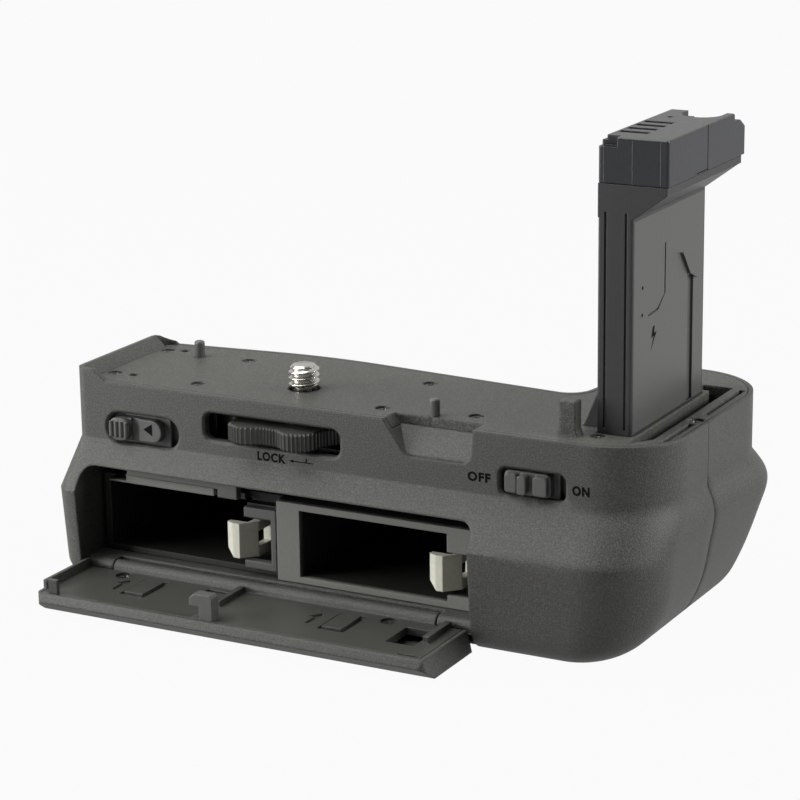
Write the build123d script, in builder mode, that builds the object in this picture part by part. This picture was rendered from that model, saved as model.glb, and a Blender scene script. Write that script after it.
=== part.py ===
# Camera battery grip: a two-cell vertical grip with a rear battery door.
#
# Millimetres, +Z up. The origin is where the camera screw's axis meets the top plate.
# +X runs to the photographer's right, +Y away from the photographer, towards the lens.
from math import cos, pi, radians, sin, sqrt
import os

from build123d import *

os.makedirs("parts", exist_ok=True)

# Casing outline, measured from the camera screw's axis
casing_height = 44.0
band_depth = 12.6
widest_depth = 22.4
bulge_depth = 18.5
left_reach = 47.5
right_reach = 83.4
rear_reach = 13.0
front_left_reach = 19.8
front_mid_reach = 24.6
front_step_reach = 19.3
grip_reach = 48.6
crown_offset = 8.0
step_outer_offset = 57.0
step_inner_offset = 52.5
rear_left_radius = 2.4
rear_right_radius = 14.5
grip_corner_radius = 17.0
step_outer_radius = 6.0
step_inner_radius = 5.0
crown_radius = 120.0
front_left_radius = 5.0

# How far the lower body stands out past the upper band
rear_flare = 7.0
left_flare = 2.0
grip_side_lean = 0.8
grip_side_flare = 3.9

# Room left between the battery tray and the lower body's front
front_left_room = 4.05
front_mid_room = 6.65
front_step_room = 5.35
grip_front_room = 9.65

# How far the lower body draws in again towards the base, and its bottom edges
rear_taper = 1.8
left_taper = 0.4
grip_side_taper = 10.7
front_taper = 2.0
bottom_radius = 6.5
right_bottom_radius = 15.6
least_corner_radius = 0.8
shoulder_shares = [0, 0.18, 0.43, 0.71, 1]
body_shares = [0, 0.24, 0.48, 0.73, 1]
bottom_shares = [0, 0.385, 0.71, 0.923, 1]
corner_shrink_share = 0.8
rear_right_shrink_share = 0.66

# Shell walls and general clearances
wall = 2.0
overrun = 5.0
parting_offset = 11.5
parting_gap = 0.1
seam_gap = 0.15
snug_gap = 0.03
slide_gap = 0.2
running_gap = 0.05
edge_radius = 0.6
slot_bevel = 0.45

# Top plate and its screws
plate_thickness = 2.2
plate_margin = 1.0
lip_height = 2.2
lip_thickness = 1.1
lip_inner_reach = 43.1
lip_foot_reach = 40.0
lip_front_reach = 17.2
lip_end_reach = 20.4
plate_screw_x = 21.6
plate_screw_rear_y = -6.2
plate_screw_front_y = 14.2
left_corner_screw_x = -42.1
right_corner_screw = (41.0, -3.5)
plate_screw_head_radius = 1.5
plate_screw_head_height = 0.9
plate_screw_shank_radius = 0.8
plate_screw_recess = 0.5
plate_screw_length = 5.0
short_screw_length = 1.5
peg_hole_radius = 1.0
peg_hole_depth = 1.2
peg_hole_rear = (-37.5, -6.1)
peg_hole_front = (-38.4, 15.3)
boss_radius = 2.4
boss_length = 8.0
boss_web = 1.2

# Locating pins and the hinge tab
pin_radius = 1.1
pin_height = 3.5
pin_dome = 0.5
left_pin = (-33.0, 12.7)
right_pin = (33.4, -6.7)
tab_left = 61.1
tab_right = 64.5
tab_foot_left = 60.4
tab_foot_right = 65.05
tab_rear = -8.4
tab_front = -5.8
tab_height = 6.9
tab_foot_height = 1.4
tab_edge_radius = 0.4

# Finger notch in the rear edge of the plate
notch_left = 25.2
notch_right = 44.9
notch_floor_left = 30.2
notch_floor_right = 44.4
notch_depth = 7.1
notch_front = -8.0
notch_wall = 1.6
notch_corner_radius = 2.6

# Camera screw and its lobed thumb wheel
thread_radius = 3.175
thread_top = 5.1
thread_chamfer = 0.35
screw_neck_radius = 2.7
screw_hole_radius = 3.35
screw_collar_radius = 4.4
screw_collar_top = 2.5
screw_journal_radius = 2.0
screw_journal_end = 12.7
wheel_radius = 16.0
wheel_lobes = 7
wheel_ridges_per_lobe = 8
wheel_points_per_ridge = 4
wheel_lobe_rise = 1.4
wheel_ridge_rise = 0.2
wheel_crest_angle = -116.5
wheel_top = 4.9
wheel_thickness = 3.7
wheel_slot_left = -16.2
wheel_slot_right = 15.3
wheel_slot_top = -3.8
wheel_slot_bottom = -9.5
wheel_slot_radius = 1.8
bridge_web = 2.0
bridge_gap = 0.6
bridge_half_width = 18.8
bridge_leg_width = 5.0
bridge_rear = -8.6
bridge_front = 16.4
bridge_wheel_room = 18.0
clip_radius = 3.4
clip_thickness = 0.6
clip_gap = 0.15

# Battery door opening and hinge
door_left = -44.0
door_right = 46.9
lip_depth = 17.4
door_frame_wall = 2.0
door_frame_front = -8.5
opening_corner_radius = 2.8
hinge_y = -15.0
hinge_z = -39.3
hinge_pin_radius = 0.6
hinge_pin_left = -45.2
hinge_pin_right = 47.4
barrel_radius = 1.6
barrel_left = -37.3
barrel_right = 38.3
knuckle_gap = 0.3
heel_radius = 4.5
heel_clearance = 0.4
sill_top = -37.6
sill_bottom = -38.9
sill_rear = -12.9
base_lip_rear = -12.4

# Battery door, drawn open, lying level behind the casing
door_gap = 0.4
door_rim_y = -35.9
door_tip_y = -36.5
door_tip_z = -41.2
door_foot_y = -32.8
door_inner_z = -39.4
door_outer_z = -43.8
door_side_bevel = 1.0
door_corner_radius = 3.0
door_skin = 1.5
liner_thickness = 1.6
liner_rim = 0.9
liner_hinge_y = -17.0
rim_wall_height = 1.8
rim_wall_thickness = 0.9
door_screw_radius = 1.8
door_screw_shank_radius = 0.7
door_screw_length = 2.6
door_screw_y = -19.05
door_screw_left_x = -33.0
door_screw_right_x = 29.4
door_screw_recess = 0.4
door_screw_head = 0.8
sign_depth = 0.4
sign_line = 0.7
sign_cell_width = 5.8
sign_cell_length = 9.6
sign_cell_y = -24.1
sign_cell_left_x = -24.8
sign_cell_right_x = 21.4
sign_arrow_left_x = -30.3
sign_arrow_right_x = 15.3
sign_arrow_foot_y = -27.2
sign_arrow_neck_y = -23.4
sign_arrow_tip_y = -21.0
sign_arrow_width = 1.0
sign_arrow_head = 3.2
window_left = 34.0
window_right = 40.2
window_rear = -29.4
window_front = -20.6
guide_rib_width = 1.3
guide_rib_height = 1.2
guide_rib_length = 9.8
centre_rib_x = -5.7
right_rib_x = 41.4
rib_y = -21.8
liner_slot_width = 5.6
liner_slot_depth = 1.2
liner_slot_x = -10.0
liner_slot_y = -19.3
edge_slot_x = 41.5
edge_slot_y = -34.2
edge_slot_width = 4.6
edge_slot_depth = 0.7
post_left = -40.8
post_right = -38.7
post_rear = -35.1
post_front = -34.3
post_top = -36.4

# Door hook and the release slide with its catch
hook_left = -7.1
hook_stem_left = -4.9
hook_right = -1.8
hook_top = -34.2
hook_corner = 1.0
hook_throat = -36.8
hook_rear = -35.1
hook_front = -32.3
slide_slot_left = -40.0
slide_slot_right = -22.6
slide_slot_top = -6.4
slide_slot_bottom = -12.9
slide_slot_radius = 3.2
slide_left = -38.9
slide_length = 12.0
slide_margin = 0.9
slide_face = -12.7
slide_grip_length = 4.85
slide_grip_rise = 1.2
slide_ridge_count = 4
slide_ridge_pitch = 1.2
slide_ridge_radius = 0.45
slide_step_length = 1.85
slide_step_depth = 0.5
slide_flange_rear = -10.8
slide_flange = 1.0
slide_flange_margin = 1.2
catch_leg_left = -34.5
catch_leg_right = -29.5
catch_travel_room = 3.6
catch_bar_top = -18.0
catch_bar_bottom = -19.2
catch_rear = -14.5
catch_front = -12.7
catch_tongue_left = -12.5
catch_tongue_right = -8.0
catch_tongue_bottom = -20.9

# Power switch
switch_slot_left = 50.6
switch_slot_right = 64.5
switch_slot_top = -6.6
switch_slot_bottom = -12.0
switch_slot_radius = 1.5
switch_left = 51.5
switch_length = 9.8
switch_margin = 0.4
switch_face = -12.6
switch_pads = [(51.9, 54.4, 0.9), (54.9, 56.7, 1.7), (58.0, 60.9, 1.2)]
switch_flange_margin = 1.2

# Cell bays: two flat lithium-ion packs lie side by side, put in from the rear
cell_width = 33.0
cell_height = 13.6
cell_length = 49.4
bay_gap = 0.25
bay_floor = -36.2
left_bay_left = -41.6
bay_pitch = 46.7
tray_rear = -12.0
left_tray_rear = -10.2
tray_left = -43.2
tray_right = 45.2
tray_top = -20.7
tray_floor = -37.5
tray_divide = -0.2
tray_end_wall = 1.6
strip_left = -36.0
strip_right = -14.6
strip_rear = -12.6
strip_top = -19.6
strip_bottom = -21.5
ledge_left = -40.3
ledge_thickness = 0.4
tray_leg_width = 1.6
tray_leg_rear = 2.0
tray_leg_front = 34.0
tray_leg_x_rows = [-30.0, -16.0, 16.0, 30.0]
hook_pocket_left = -8.6
hook_pocket_right = -0.7
hook_pocket_front = -8.2
hook_pocket_floor = -22.6
hollow_left = -2.4
hollow_right = 3.4
hollow_rear = 6.0
hollow_front = 38.0
contact_width = 2.0
contact_height = 6.0
contact_reach = 0.7
contact_pitch = 5.0
contact_count = 3
contact_z = -29.0
spring_width = 9.0
spring_thickness = 0.3
spring_bow = 2.6
spring_foot = 2.0
spring_z = -29.2
spring_height = 6.0
spring_offset = 11.0

# Cell latches
latch_tip = 34.7
latch_rear = -12.6
latch_nose_front = -10.6
latch_face_right = 37.9
latch_top = -26.7
latch_bottom = -34.1
latch_chamfer_width = 1.6
latch_chamfer_depth = 0.8
latch_corner_cut = 1.8
latch_pivot_x = 40.6
latch_pivot_y = 1.0
latch_boss_radius = 1.7
latch_heel_y = -9.6
latch_arm_left = 38.9
latch_arm_right = 40.7
latch_pin_radius = 0.8
latch_pin_reach = 1.3
latch_notch_right = 44.0
latch_notch_front = 3.2
latch_notch_top = -25.9
latch_notch_bottom = -34.9
latch_window_rear = -9.6
latch_window_front = -4.6
latch_window_margin = 2.0
bracket_left = -7.9
bracket_right = -0.4
bracket_bar = 1.2
bracket_top = -23.0
bracket_bottom = -36.0
bracket_arm = 2.1
bracket_foot = 1.6

# Insert that fills the camera's own battery chamber
stem_left = 66.9
stem_right = 74.1
stem_rear = -4.0
stem_front = 32.0
stem_foot = -9.0
stem_top = 48.6
stem_edge_radius = 0.5
flange_thickness = 1.6
flange_margin = 1.2
core_wall = 1.8
core_top = 44.0
shoulder_bottom = 42.1
shoulder_top = 47.1
shoulder_right = 80.9
strip_front = 33.3
gusset_foot_x = 62.6
gusset_height = 10.2
gusset_rear = -0.5
gusset_front = 0.9
head_right = 81.1
head_bottom = 48.75
head_top = 57.5
head_top_front = 29.0
head_step_front = 31.9
head_far_front = 34.4
head_step_z = 55.9
head_far_z = 54.3
scoop_x = 75.45
scoop_y = 26.3
scoop_radius = 4.05
scoop_floor = 52.0
head_ledge_width = 1.0
head_ledge_z = 56.5
head_slot_left = 68.4
head_slot_right = 74.4
head_slot_width = 1.9
head_slot_depth = 2.4
head_slot_y = 2.5
head_slot_pitch = 3.9
head_slot_count = 4
head_hole_x = 71.1
head_hole_y = 20.6
head_hole_radius = 0.7
head_hole_depth = 2.0
head_notch_right = 70.7
head_notch_front = -2.0
head_notch_floor = 55.6
head_edge_radius = 0.4
cover_thickness = 0.8
cover_rear = -3.3
cover_front = 31.4
cover_bottom = 0.3
cover_top = 41.6
front_rib_left = 68.5
front_rib_right = 72.7
front_groove_width = 0.4
front_groove_depth = 0.4
groove_width = 0.5
groove_depth = 0.5
curve_groove_y = 11.8
curve_groove_top = 34.8
curve_groove_bend = 24.9
curve_groove_knee_y = 8.6
curve_groove_knee_z = 22.2
curve_groove_end_y = 3.7
curve_groove_end_z = 22.1
arrow_groove_rear = 23.2
arrow_groove_front = 26.1
arrow_groove_top = 25.9
arrow_tip = (19.4, 31.3)
arrow_front = (29.4, 26.2)
arrow_foot = (26.7, 24.9)
arrow_inner = (23.3, 26.4)
arrow_rise = 0.6
blade_thickness = 0.5
blade_height = 1.6
blade_inset = 0.8

# Storage pocket beside the insert, for the camera's own battery door
pocket_left = 75.0
pocket_right = 78.6
pocket_rear = -7.6
pocket_corner_x = 75.8
pocket_corner_y = -3.6
pocket_front = 37.2
pocket_back_left = 72.3
pocket_back_rear = 33.4
pocket_wall = 0.7
pocket_depth = 9.0
slit_width = 1.2
slit_x = 81.0
slit_depth = 1.2
rear_slit_limits = (-5.2, 9.4)
front_slit_limits = (16.4, 36.4)
base_rear_screw = (68.1, -6.0)
base_side_screw = (80.9, 12.0)

# Circuit board, shutter button, tripod bush and base screws
board_left = 47.6
board_right = 64.2
board_rear = -5.0
board_front = 15.0
board_top = -13.0
board_thickness = 1.6
standoff_radius = 2.2
standoff_inset = 3.0
board_screw_radius = 1.5
board_screw_head = 1.0
board_screw_shank = 0.8
board_screw_length = 4.0
chip_size = 7.0
chip_height = 1.2
button_angle = 90.0
button_depth = 20.0
button_radius = 4.2
button_proud = 0.4
button_length = 3.4
button_stem_radius = 2.0
button_stem_length = 1.6
cup_radius = 5.6
cup_bore = 4.35
cup_proud = 0.6
cup_length = 9.2
cup_floor = 1.2
dome_radius = 3.0
dome_height = 1.5
bush_y = 20.5
bush_radius = 5.0
bush_flange_radius = 6.4
bush_flange = 1.2
bush_top = -38.1
bush_bore_radius = 3.175
bush_bore_length = 5.0
bush_boss_radius = 7.4
bush_boss_top = -38.6
base_screw_spots = [(-40.0, -2.0), (40.0, -2.0), (62.0, -4.0), (-40.0, 33.0), (40.0, 33.0), (60.0, 33.0)]
base_screw_radius = 2.0
base_screw_head = 1.4
base_screw_recess = 0.6
base_screw_shank = 1.1
base_screw_tip = -38.6
base_boss_radius = 3.2
base_boss_top = -37.8

up = (0, 0, 1)
down = (0, 0, -1)
bay_width = cell_width + 2 * bay_gap
bay_height = cell_height + 2 * bay_gap
bay_ceiling = bay_floor + bay_height
bay_end = latch_nose_front + bay_gap + cell_length + contact_reach
bay_lefts = [left_bay_left, left_bay_left + bay_pitch]
tray_end = bay_end + tray_end_wall
front_left_flare = tray_end + front_left_room - front_left_reach
front_mid_flare = tray_end + front_mid_room - front_mid_reach
front_step_flare = tray_end + front_step_room - front_step_reach
grip_front_flare = tray_end + grip_front_room - grip_reach
body_end_depth = casing_height - bottom_radius
shoulder_depths = [band_depth + share * (widest_depth - band_depth) for share in shoulder_shares]
body_depths = [widest_depth + share * (body_end_depth - widest_depth) for share in body_shares]
bottom_depths = [body_end_depth + share * bottom_radius for share in bottom_shares]
wheel_bottom = wheel_top + wheel_thickness
bridge_top = wheel_bottom + bridge_gap
bridge_bottom = bridge_top + bridge_web
latch_shifts = [0, -bay_pitch]
knuckle_left = barrel_left - knuckle_gap
knuckle_right = barrel_right + knuckle_gap
rear_screws = [
    (left_corner_screw_x, plate_screw_rear_y),
    (-plate_screw_x, plate_screw_rear_y),
    (plate_screw_x, plate_screw_rear_y),
    right_corner_screw,
]
front_screws = [
    (left_corner_screw_x, plate_screw_front_y),
    (-plate_screw_x, plate_screw_front_y),
    (plate_screw_x, plate_screw_front_y),
]
pocket_screws = [base_rear_screw, base_side_screw]
webs_to_rear = [
    (-plate_screw_x, plate_screw_rear_y),
    (plate_screw_x - boss_web, plate_screw_rear_y),
    right_corner_screw,
]
webs_to_front = [(-plate_screw_x, plate_screw_front_y), (plate_screw_x, plate_screw_front_y)]
standoff_spots = [
    (board_left + standoff_inset, board_front - standoff_inset),
    (board_right - standoff_inset, board_front - standoff_inset),
    (board_right - standoff_inset, board_rear + standoff_inset),
]
rear_slots = [
    ((slide_slot_left, slide_slot_right), (slide_slot_bottom, slide_slot_top), slide_slot_radius),
    ((wheel_slot_left, wheel_slot_right), (wheel_slot_bottom, wheel_slot_top), wheel_slot_radius),
    ((switch_slot_left, switch_slot_right), (switch_slot_bottom, switch_slot_top), switch_slot_radius),
]
notch_points = [
    (notch_left, plate_thickness),
    (notch_left, 0),
    (notch_floor_left, -notch_depth),
    (notch_floor_right, -notch_depth),
    (notch_right, 0),
    (notch_right, plate_thickness),
]
pocket_points = [
    (pocket_left, pocket_rear),
    (pocket_corner_x, pocket_rear),
    (pocket_right, pocket_corner_y),
    (pocket_right, pocket_front),
    (pocket_back_left, pocket_front),
    (pocket_back_left, pocket_back_rear),
    (pocket_left, pocket_back_rear),
]
wheel_points = []
wheel_point_count = wheel_lobes * wheel_ridges_per_lobe * wheel_points_per_ridge
for step in range(wheel_point_count):
    turn = 2 * pi * step / wheel_point_count
    swing = cos(wheel_lobes * (turn - radians(wheel_crest_angle)))
    lobe = wheel_lobe_rise * sin(swing * pi / 2)
    ridge = wheel_ridge_rise * cos(wheel_lobes * wheel_ridges_per_lobe * turn)
    reach = wheel_radius + lobe + ridge
    wheel_points.append((reach * cos(turn), reach * sin(turn)))


def block(x_limits, y_limits, z_limits, mode=Mode.ADD):
    """A box between two limits on each axis."""
    centre = tuple((low + high) / 2 for low, high in (x_limits, y_limits, z_limits))
    with Locations(centre):
        Box(x_limits[1] - x_limits[0], y_limits[1] - y_limits[0], z_limits[1] - z_limits[0], mode=mode)


def prism(plane, points, length, mode=Mode.ADD):
    """A straight solid with this outline, run along the plane's normal."""
    with BuildSketch(plane) as profile:
        with BuildLine():
            Polyline(*points, close=True)
        make_face()
    extrude(profile.sketch, amount=length, mode=mode)


def run_x(points, x_limits, mode=Mode.ADD):
    """A solid with this outline in Y and Z, run between two X limits."""
    prism(Plane.YZ.offset(x_limits[0]), points, x_limits[1] - x_limits[0], mode)


def run_y(points, y_limits, mode=Mode.ADD):
    """A solid with this outline in X and Z, run between two Y limits."""
    prism(Plane.XZ.offset(-y_limits[1]), points, y_limits[1] - y_limits[0], mode)


def run_z(points, z_limits, mode=Mode.ADD):
    """A solid with this outline in X and Y, run between two Z limits."""
    prism(Plane.XY.offset(z_limits[0]), points, z_limits[1] - z_limits[0], mode)


def rod(start, direction, radius, length, mode=Mode.ADD):
    """A cylinder from a start point along a direction."""
    with Locations(Plane(start, z_dir=direction)):
        Cylinder(radius, length, align=(Align.CENTER, Align.CENTER, Align.MIN), mode=mode)


def rear_pad(x_limits, z_limits, radius, y_limits, mode=Mode.ADD):
    """A rounded rectangle seen from the rear, run between two Y limits."""
    centre = ((x_limits[0] + x_limits[1]) / 2, (z_limits[0] + z_limits[1]) / 2)
    with BuildSketch(Plane.XZ.offset(-y_limits[1])) as profile:
        with Locations(centre):
            RectangleRounded(x_limits[1] - x_limits[0], z_limits[1] - z_limits[0], radius)
    extrude(profile.sketch, amount=y_limits[1] - y_limits[0], mode=mode)


def cut_notch():
    """Cut the finger notch, with its two lower corners rounded."""
    with BuildSketch(Plane.XZ.offset(-notch_front)) as profile:
        with BuildLine():
            Polyline(*notch_points, close=True)
        make_face()
        fillet(profile.vertices().group_by(Axis.Y)[0], notch_corner_radius)
    extrude(profile.sketch, amount=2 * rear_reach, mode=Mode.SUBTRACT)


def bevel_slot(x_limits, z_limits, radius):
    """Cut a slanted rim round a slot in the rear band."""
    centre = ((x_limits[0] + x_limits[1]) / 2, (z_limits[0] + z_limits[1]) / 2)
    width = x_limits[1] - x_limits[0]
    height = z_limits[1] - z_limits[0]
    with BuildSketch(Plane.XZ.offset(rear_reach)) as rim_outer:
        with Locations(centre):
            RectangleRounded(width + 2 * slot_bevel, height + 2 * slot_bevel, radius + slot_bevel)
    with BuildSketch(Plane.XZ.offset(rear_reach - slot_bevel)) as rim_inner:
        with Locations(centre):
            RectangleRounded(width, height, radius)
    loft(sections=[rim_outer.sketch, rim_inner.sketch], mode=Mode.SUBTRACT)


def finish_piece(builder, name):
    """Label a finished piece and write its STEP file."""
    builder.part.label = name
    export_step(builder.part, f"parts/{name}.step")


def rounding(radius, height):
    """How far a bottom edge of this radius has drawn in at this height above the base."""
    if height >= radius:
        return 0
    return radius - sqrt(radius ** 2 - (radius - height) ** 2)


def casing_corners(depth, inset):
    """Corners and corner radii of the casing's outline at a depth below the top plate."""
    fall = min(max((depth - band_depth) / (widest_depth - band_depth), 0), 1)
    front_share = sin(fall * pi / 2)
    bulge_share = sin(min(max((depth - band_depth) / (bulge_depth - band_depth), 0), 1) * pi / 2)
    grip_taper_share = max((depth - bulge_depth) / (casing_height - bulge_depth), 0)
    taper_share = max((depth - widest_depth) / (casing_height - widest_depth), 0)
    height = max(casing_height - depth, 0)
    drawn_in = rounding(bottom_radius, height)
    right_drawn_in = rounding(right_bottom_radius, height)
    left = left_reach + left_flare * fall - left_taper * taper_share - drawn_in - inset
    rear = rear_reach + rear_flare * fall - rear_taper * taper_share - drawn_in - inset
    right = right_reach - right_drawn_in - inset
    grip_side = right_reach + grip_side_lean + grip_side_flare * bulge_share
    grip_side -= grip_side_taper * grip_taper_share
    grip_side -= drawn_in + inset
    front_inset = drawn_in + front_taper * taper_share + inset
    grip_front = grip_reach + grip_front_flare * front_share - front_inset
    front_step = front_step_reach + front_step_flare * front_share - front_inset
    front_mid = front_mid_reach + front_mid_flare * front_share - front_inset
    front_left = front_left_reach + front_left_flare * front_share - front_inset
    step_outer = step_outer_offset + inset
    step_inner = step_inner_offset + inset
    corners = [
        (-left, -rear),
        (right, -rear),
        (grip_side, grip_front),
        (step_outer, grip_front),
        (step_inner, front_step),
        (-crown_offset, front_mid),
        (-left, front_left),
    ]
    shrink = inset + corner_shrink_share * drawn_in
    radii = [
        max(rear_left_radius + left_flare * fall - shrink, least_corner_radius),
        rear_right_radius - inset - rear_right_shrink_share * right_drawn_in,
        grip_corner_radius - inset - drawn_in,
        step_outer_radius - step_outer_radius * front_share / 2,
        step_inner_radius,
        crown_radius,
        max(front_left_radius + left_flare * fall - shrink, least_corner_radius),
    ]
    return corners, radii


def casing_outline(depth, inset=0):
    """Add the casing's outline at this depth to the sketch being drawn."""
    corners, radii = casing_corners(depth, inset)
    with BuildLine() as outline:
        FilletPolyline(*corners, radius=radii, close=True)
    make_face(outline.edges())


# Where the shutter button's axis leaves the hand grip
button_direction = (cos(radians(button_angle)), sin(radians(button_angle)), 0)
button_corners, button_radii = casing_corners(button_depth, 0)
grip_corner = button_corners[2]
button_reach = button_radii[2]


def on_button_axis(distance):
    """A point on the shutter button's axis, measured outwards from the grip's surface."""
    along = button_reach + distance
    return (
        grip_corner[0] - button_reach + along * button_direction[0],
        grip_corner[1] - button_reach + along * button_direction[1],
        -button_depth,
    )


button_foot = on_button_axis(-cup_length)

# The outer form: a straight upper band, a sloping shoulder, the body and its rounded base
with BuildPart() as casing_form:
    with BuildSketch(Plane.XY.offset(-band_depth)):
        casing_outline(0)
    extrude(amount=band_depth)
    for depths in (shoulder_depths, body_depths, bottom_depths):
        for depth in depths:
            with BuildSketch(Plane.XY.offset(-depth)):
                casing_outline(depth)
        loft()

# The cavity inside the casing, one wall in from the outer form, open under the top plate
with BuildPart() as cavity_form:
    with BuildSketch(Plane.XY.offset(-band_depth)):
        casing_outline(0, wall)
    extrude(amount=band_depth + overrun)
    for depths in (shoulder_depths, body_depths):
        for depth in depths:
            with BuildSketch(Plane.XY.offset(-depth)):
                casing_outline(depth, wall)
        loft(ruled=True)
    floor_depth = casing_height - wall
    for depth in (body_depths[-1], floor_depth):
        with BuildSketch(Plane.XY.offset(-depth)):
            casing_outline(depth, wall)
    loft(ruled=True)

# Everything that stands inside the walls: door frame, sill, notch walls and screw bosses
with BuildPart() as inner_form:
    block(
        (door_left - door_frame_wall, door_right + door_frame_wall),
        (-2 * rear_reach, door_frame_front),
        (-casing_height, door_frame_wall - lip_depth),
    )
    block(
        (notch_left - notch_wall, notch_right + notch_wall),
        (-rear_reach, notch_front + notch_wall),
        (-notch_depth - notch_wall, -plate_thickness),
    )
    for x, y in rear_screws + front_screws:
        rod((x, y, -plate_thickness), down, boss_radius, boss_length)
    for x, y in webs_to_rear:
        block((x, x + boss_web), (-rear_reach, y), (-boss_length, -plate_thickness))
    for x, y in webs_to_front:
        block((x, x + boss_web), (y, front_mid_reach), (-boss_length, -plate_thickness))
    for y in (plate_screw_rear_y, plate_screw_front_y):
        block((-left_reach, left_corner_screw_x), (y, y + boss_web), (-boss_length, -plate_thickness))
    for x, y in base_screw_spots:
        rod((x, y, -casing_height), up, base_boss_radius, casing_height + base_boss_top)
    rod((0, bush_y, -casing_height), up, bush_boss_radius, casing_height + bush_boss_top)
    add(casing_form.part, mode=Mode.INTERSECT)

# The raised lip that locates the camera's left end
with BuildPart() as lip_limits:
    run_x(
        [(-rear_reach, 0), (-rear_reach, lip_height), (lip_front_reach, lip_height), (lip_end_reach, 0)],
        (-left_reach, -lip_inner_reach),
    )
    run_y(
        [
            (-left_reach, 0),
            (-left_reach, lip_height),
            (-lip_inner_reach, lip_height),
            (-lip_foot_reach, 0),
        ],
        (-rear_reach, lip_thickness - rear_reach),
    )

with BuildPart() as lip_form:
    with BuildSketch() as lip_ring:
        casing_outline(0)
    extrude(amount=lip_height)
    with BuildSketch() as lip_inside:
        casing_outline(0, lip_thickness)
    extrude(amount=lip_height, mode=Mode.SUBTRACT)
    add(lip_limits.part, mode=Mode.INTERSECT)

# Both halves of the shell in one, with every opening cut
with BuildPart() as housing_form:
    add(casing_form.part)
    add(cavity_form.part, mode=Mode.SUBTRACT)
    add(inner_form.part)
    with BuildSketch():
        casing_outline(0, plate_margin)
    extrude(amount=-plate_thickness, mode=Mode.SUBTRACT)
    add(lip_form.part)
    # Battery door opening, with the hinge pocket under its sill
    rear_pad(
        (door_left, door_right),
        (sill_top - opening_corner_radius, -lip_depth),
        opening_corner_radius,
        (-2 * rear_reach, sill_rear),
        mode=Mode.SUBTRACT,
    )
    block(
        (door_left, door_right),
        (sill_rear - seam_gap, door_frame_front + seam_gap),
        (sill_top, -lip_depth),
        mode=Mode.SUBTRACT,
    )
    block(
        (door_left, door_right),
        (-2 * rear_reach, sill_rear),
        (-casing_height, sill_top),
        mode=Mode.SUBTRACT,
    )
    block(
        (door_left, door_right),
        (-2 * rear_reach, base_lip_rear),
        (-casing_height, -casing_height + wall),
        mode=Mode.SUBTRACT,
    )
    with BuildSketch(Plane.YZ.offset(door_left)) as heel_room:
        with Locations((hinge_y, hinge_z)):
            Circle(heel_radius + heel_clearance)
        with Locations((hinge_y, sill_bottom + heel_radius + heel_clearance)):
            Rectangle(4 * heel_radius, 2 * (heel_radius + heel_clearance), mode=Mode.SUBTRACT)
    extrude(heel_room.sketch, amount=door_right - door_left, mode=Mode.SUBTRACT)
    # Knuckles at both ends of the door
    for x_limits in ((door_left - seam_gap, knuckle_left), (knuckle_right, door_right + seam_gap)):
        rod((x_limits[0], hinge_y, hinge_z), (1, 0, 0), barrel_radius, x_limits[1] - x_limits[0])
        block(
            x_limits,
            (hinge_y, sill_rear + seam_gap),
            (hinge_z - barrel_radius, hinge_z + barrel_radius),
        )
        block(x_limits, (sill_rear, base_lip_rear), (hinge_z - barrel_radius, sill_bottom))
    rod(
        (hinge_pin_left - seam_gap, hinge_y, hinge_z),
        (1, 0, 0),
        hinge_pin_radius + snug_gap,
        hinge_pin_right - hinge_pin_left + 2 * seam_gap,
        mode=Mode.SUBTRACT,
    )
    # Controls on the rear band
    for x_limits, z_limits, radius in rear_slots:
        rear_pad(x_limits, z_limits, radius, (-2 * rear_reach, -boss_length), mode=Mode.SUBTRACT)
        bevel_slot(x_limits, z_limits, radius)
    block(
        (catch_leg_left - slide_gap, catch_leg_right + catch_travel_room),
        (slide_flange_rear - slide_gap, slide_flange_rear + slide_flange + slide_gap),
        (-lip_depth - seam_gap, door_frame_wall - lip_depth + seam_gap),
        mode=Mode.SUBTRACT,
    )
    cut_notch()
    # Screw holes, tripod bush and shutter button
    for x, y in rear_screws + front_screws:
        rod(
            (x, y, -plate_thickness),
            down,
            plate_screw_shank_radius + snug_gap,
            plate_screw_length,
            mode=Mode.SUBTRACT,
        )
    for x, y in base_screw_spots:
        foot = (x, y, -casing_height)
        rod(
            foot,
            up,
            base_screw_radius + slide_gap,
            base_screw_recess + base_screw_head,
            mode=Mode.SUBTRACT,
        )
        rod(
            foot,
            up,
            base_screw_shank + snug_gap,
            casing_height + base_screw_tip + seam_gap,
            mode=Mode.SUBTRACT,
        )
    rod((0, bush_y, -casing_height), up, bush_flange_radius + snug_gap, bush_flange, mode=Mode.SUBTRACT)
    rod(
        (0, bush_y, -casing_height),
        up,
        bush_radius + snug_gap,
        casing_height + sill_top,
        mode=Mode.SUBTRACT,
    )
    rod(button_foot, button_direction, cup_radius + snug_gap, 2 * cup_length, mode=Mode.SUBTRACT)

# Rear half of the shell, with the door frame, the knuckles and the rear controls
with BuildPart() as rear_shell:
    add(housing_form.part)
    block(
        (-2 * left_reach, 2 * right_reach),
        (parting_offset - parting_gap / 2, 2 * grip_reach),
        (-2 * casing_height, casing_height),
        mode=Mode.SUBTRACT,
    )
finish_piece(rear_shell, "rear_shell")

# Front half of the shell, with the hand grip
with BuildPart() as front_shell:
    add(housing_form.part)
    block(
        (-2 * left_reach, 2 * right_reach),
        (-2 * grip_reach, parting_offset + parting_gap / 2),
        (-2 * casing_height, casing_height),
        mode=Mode.SUBTRACT,
    )
finish_piece(front_shell, "front_shell")

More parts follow.
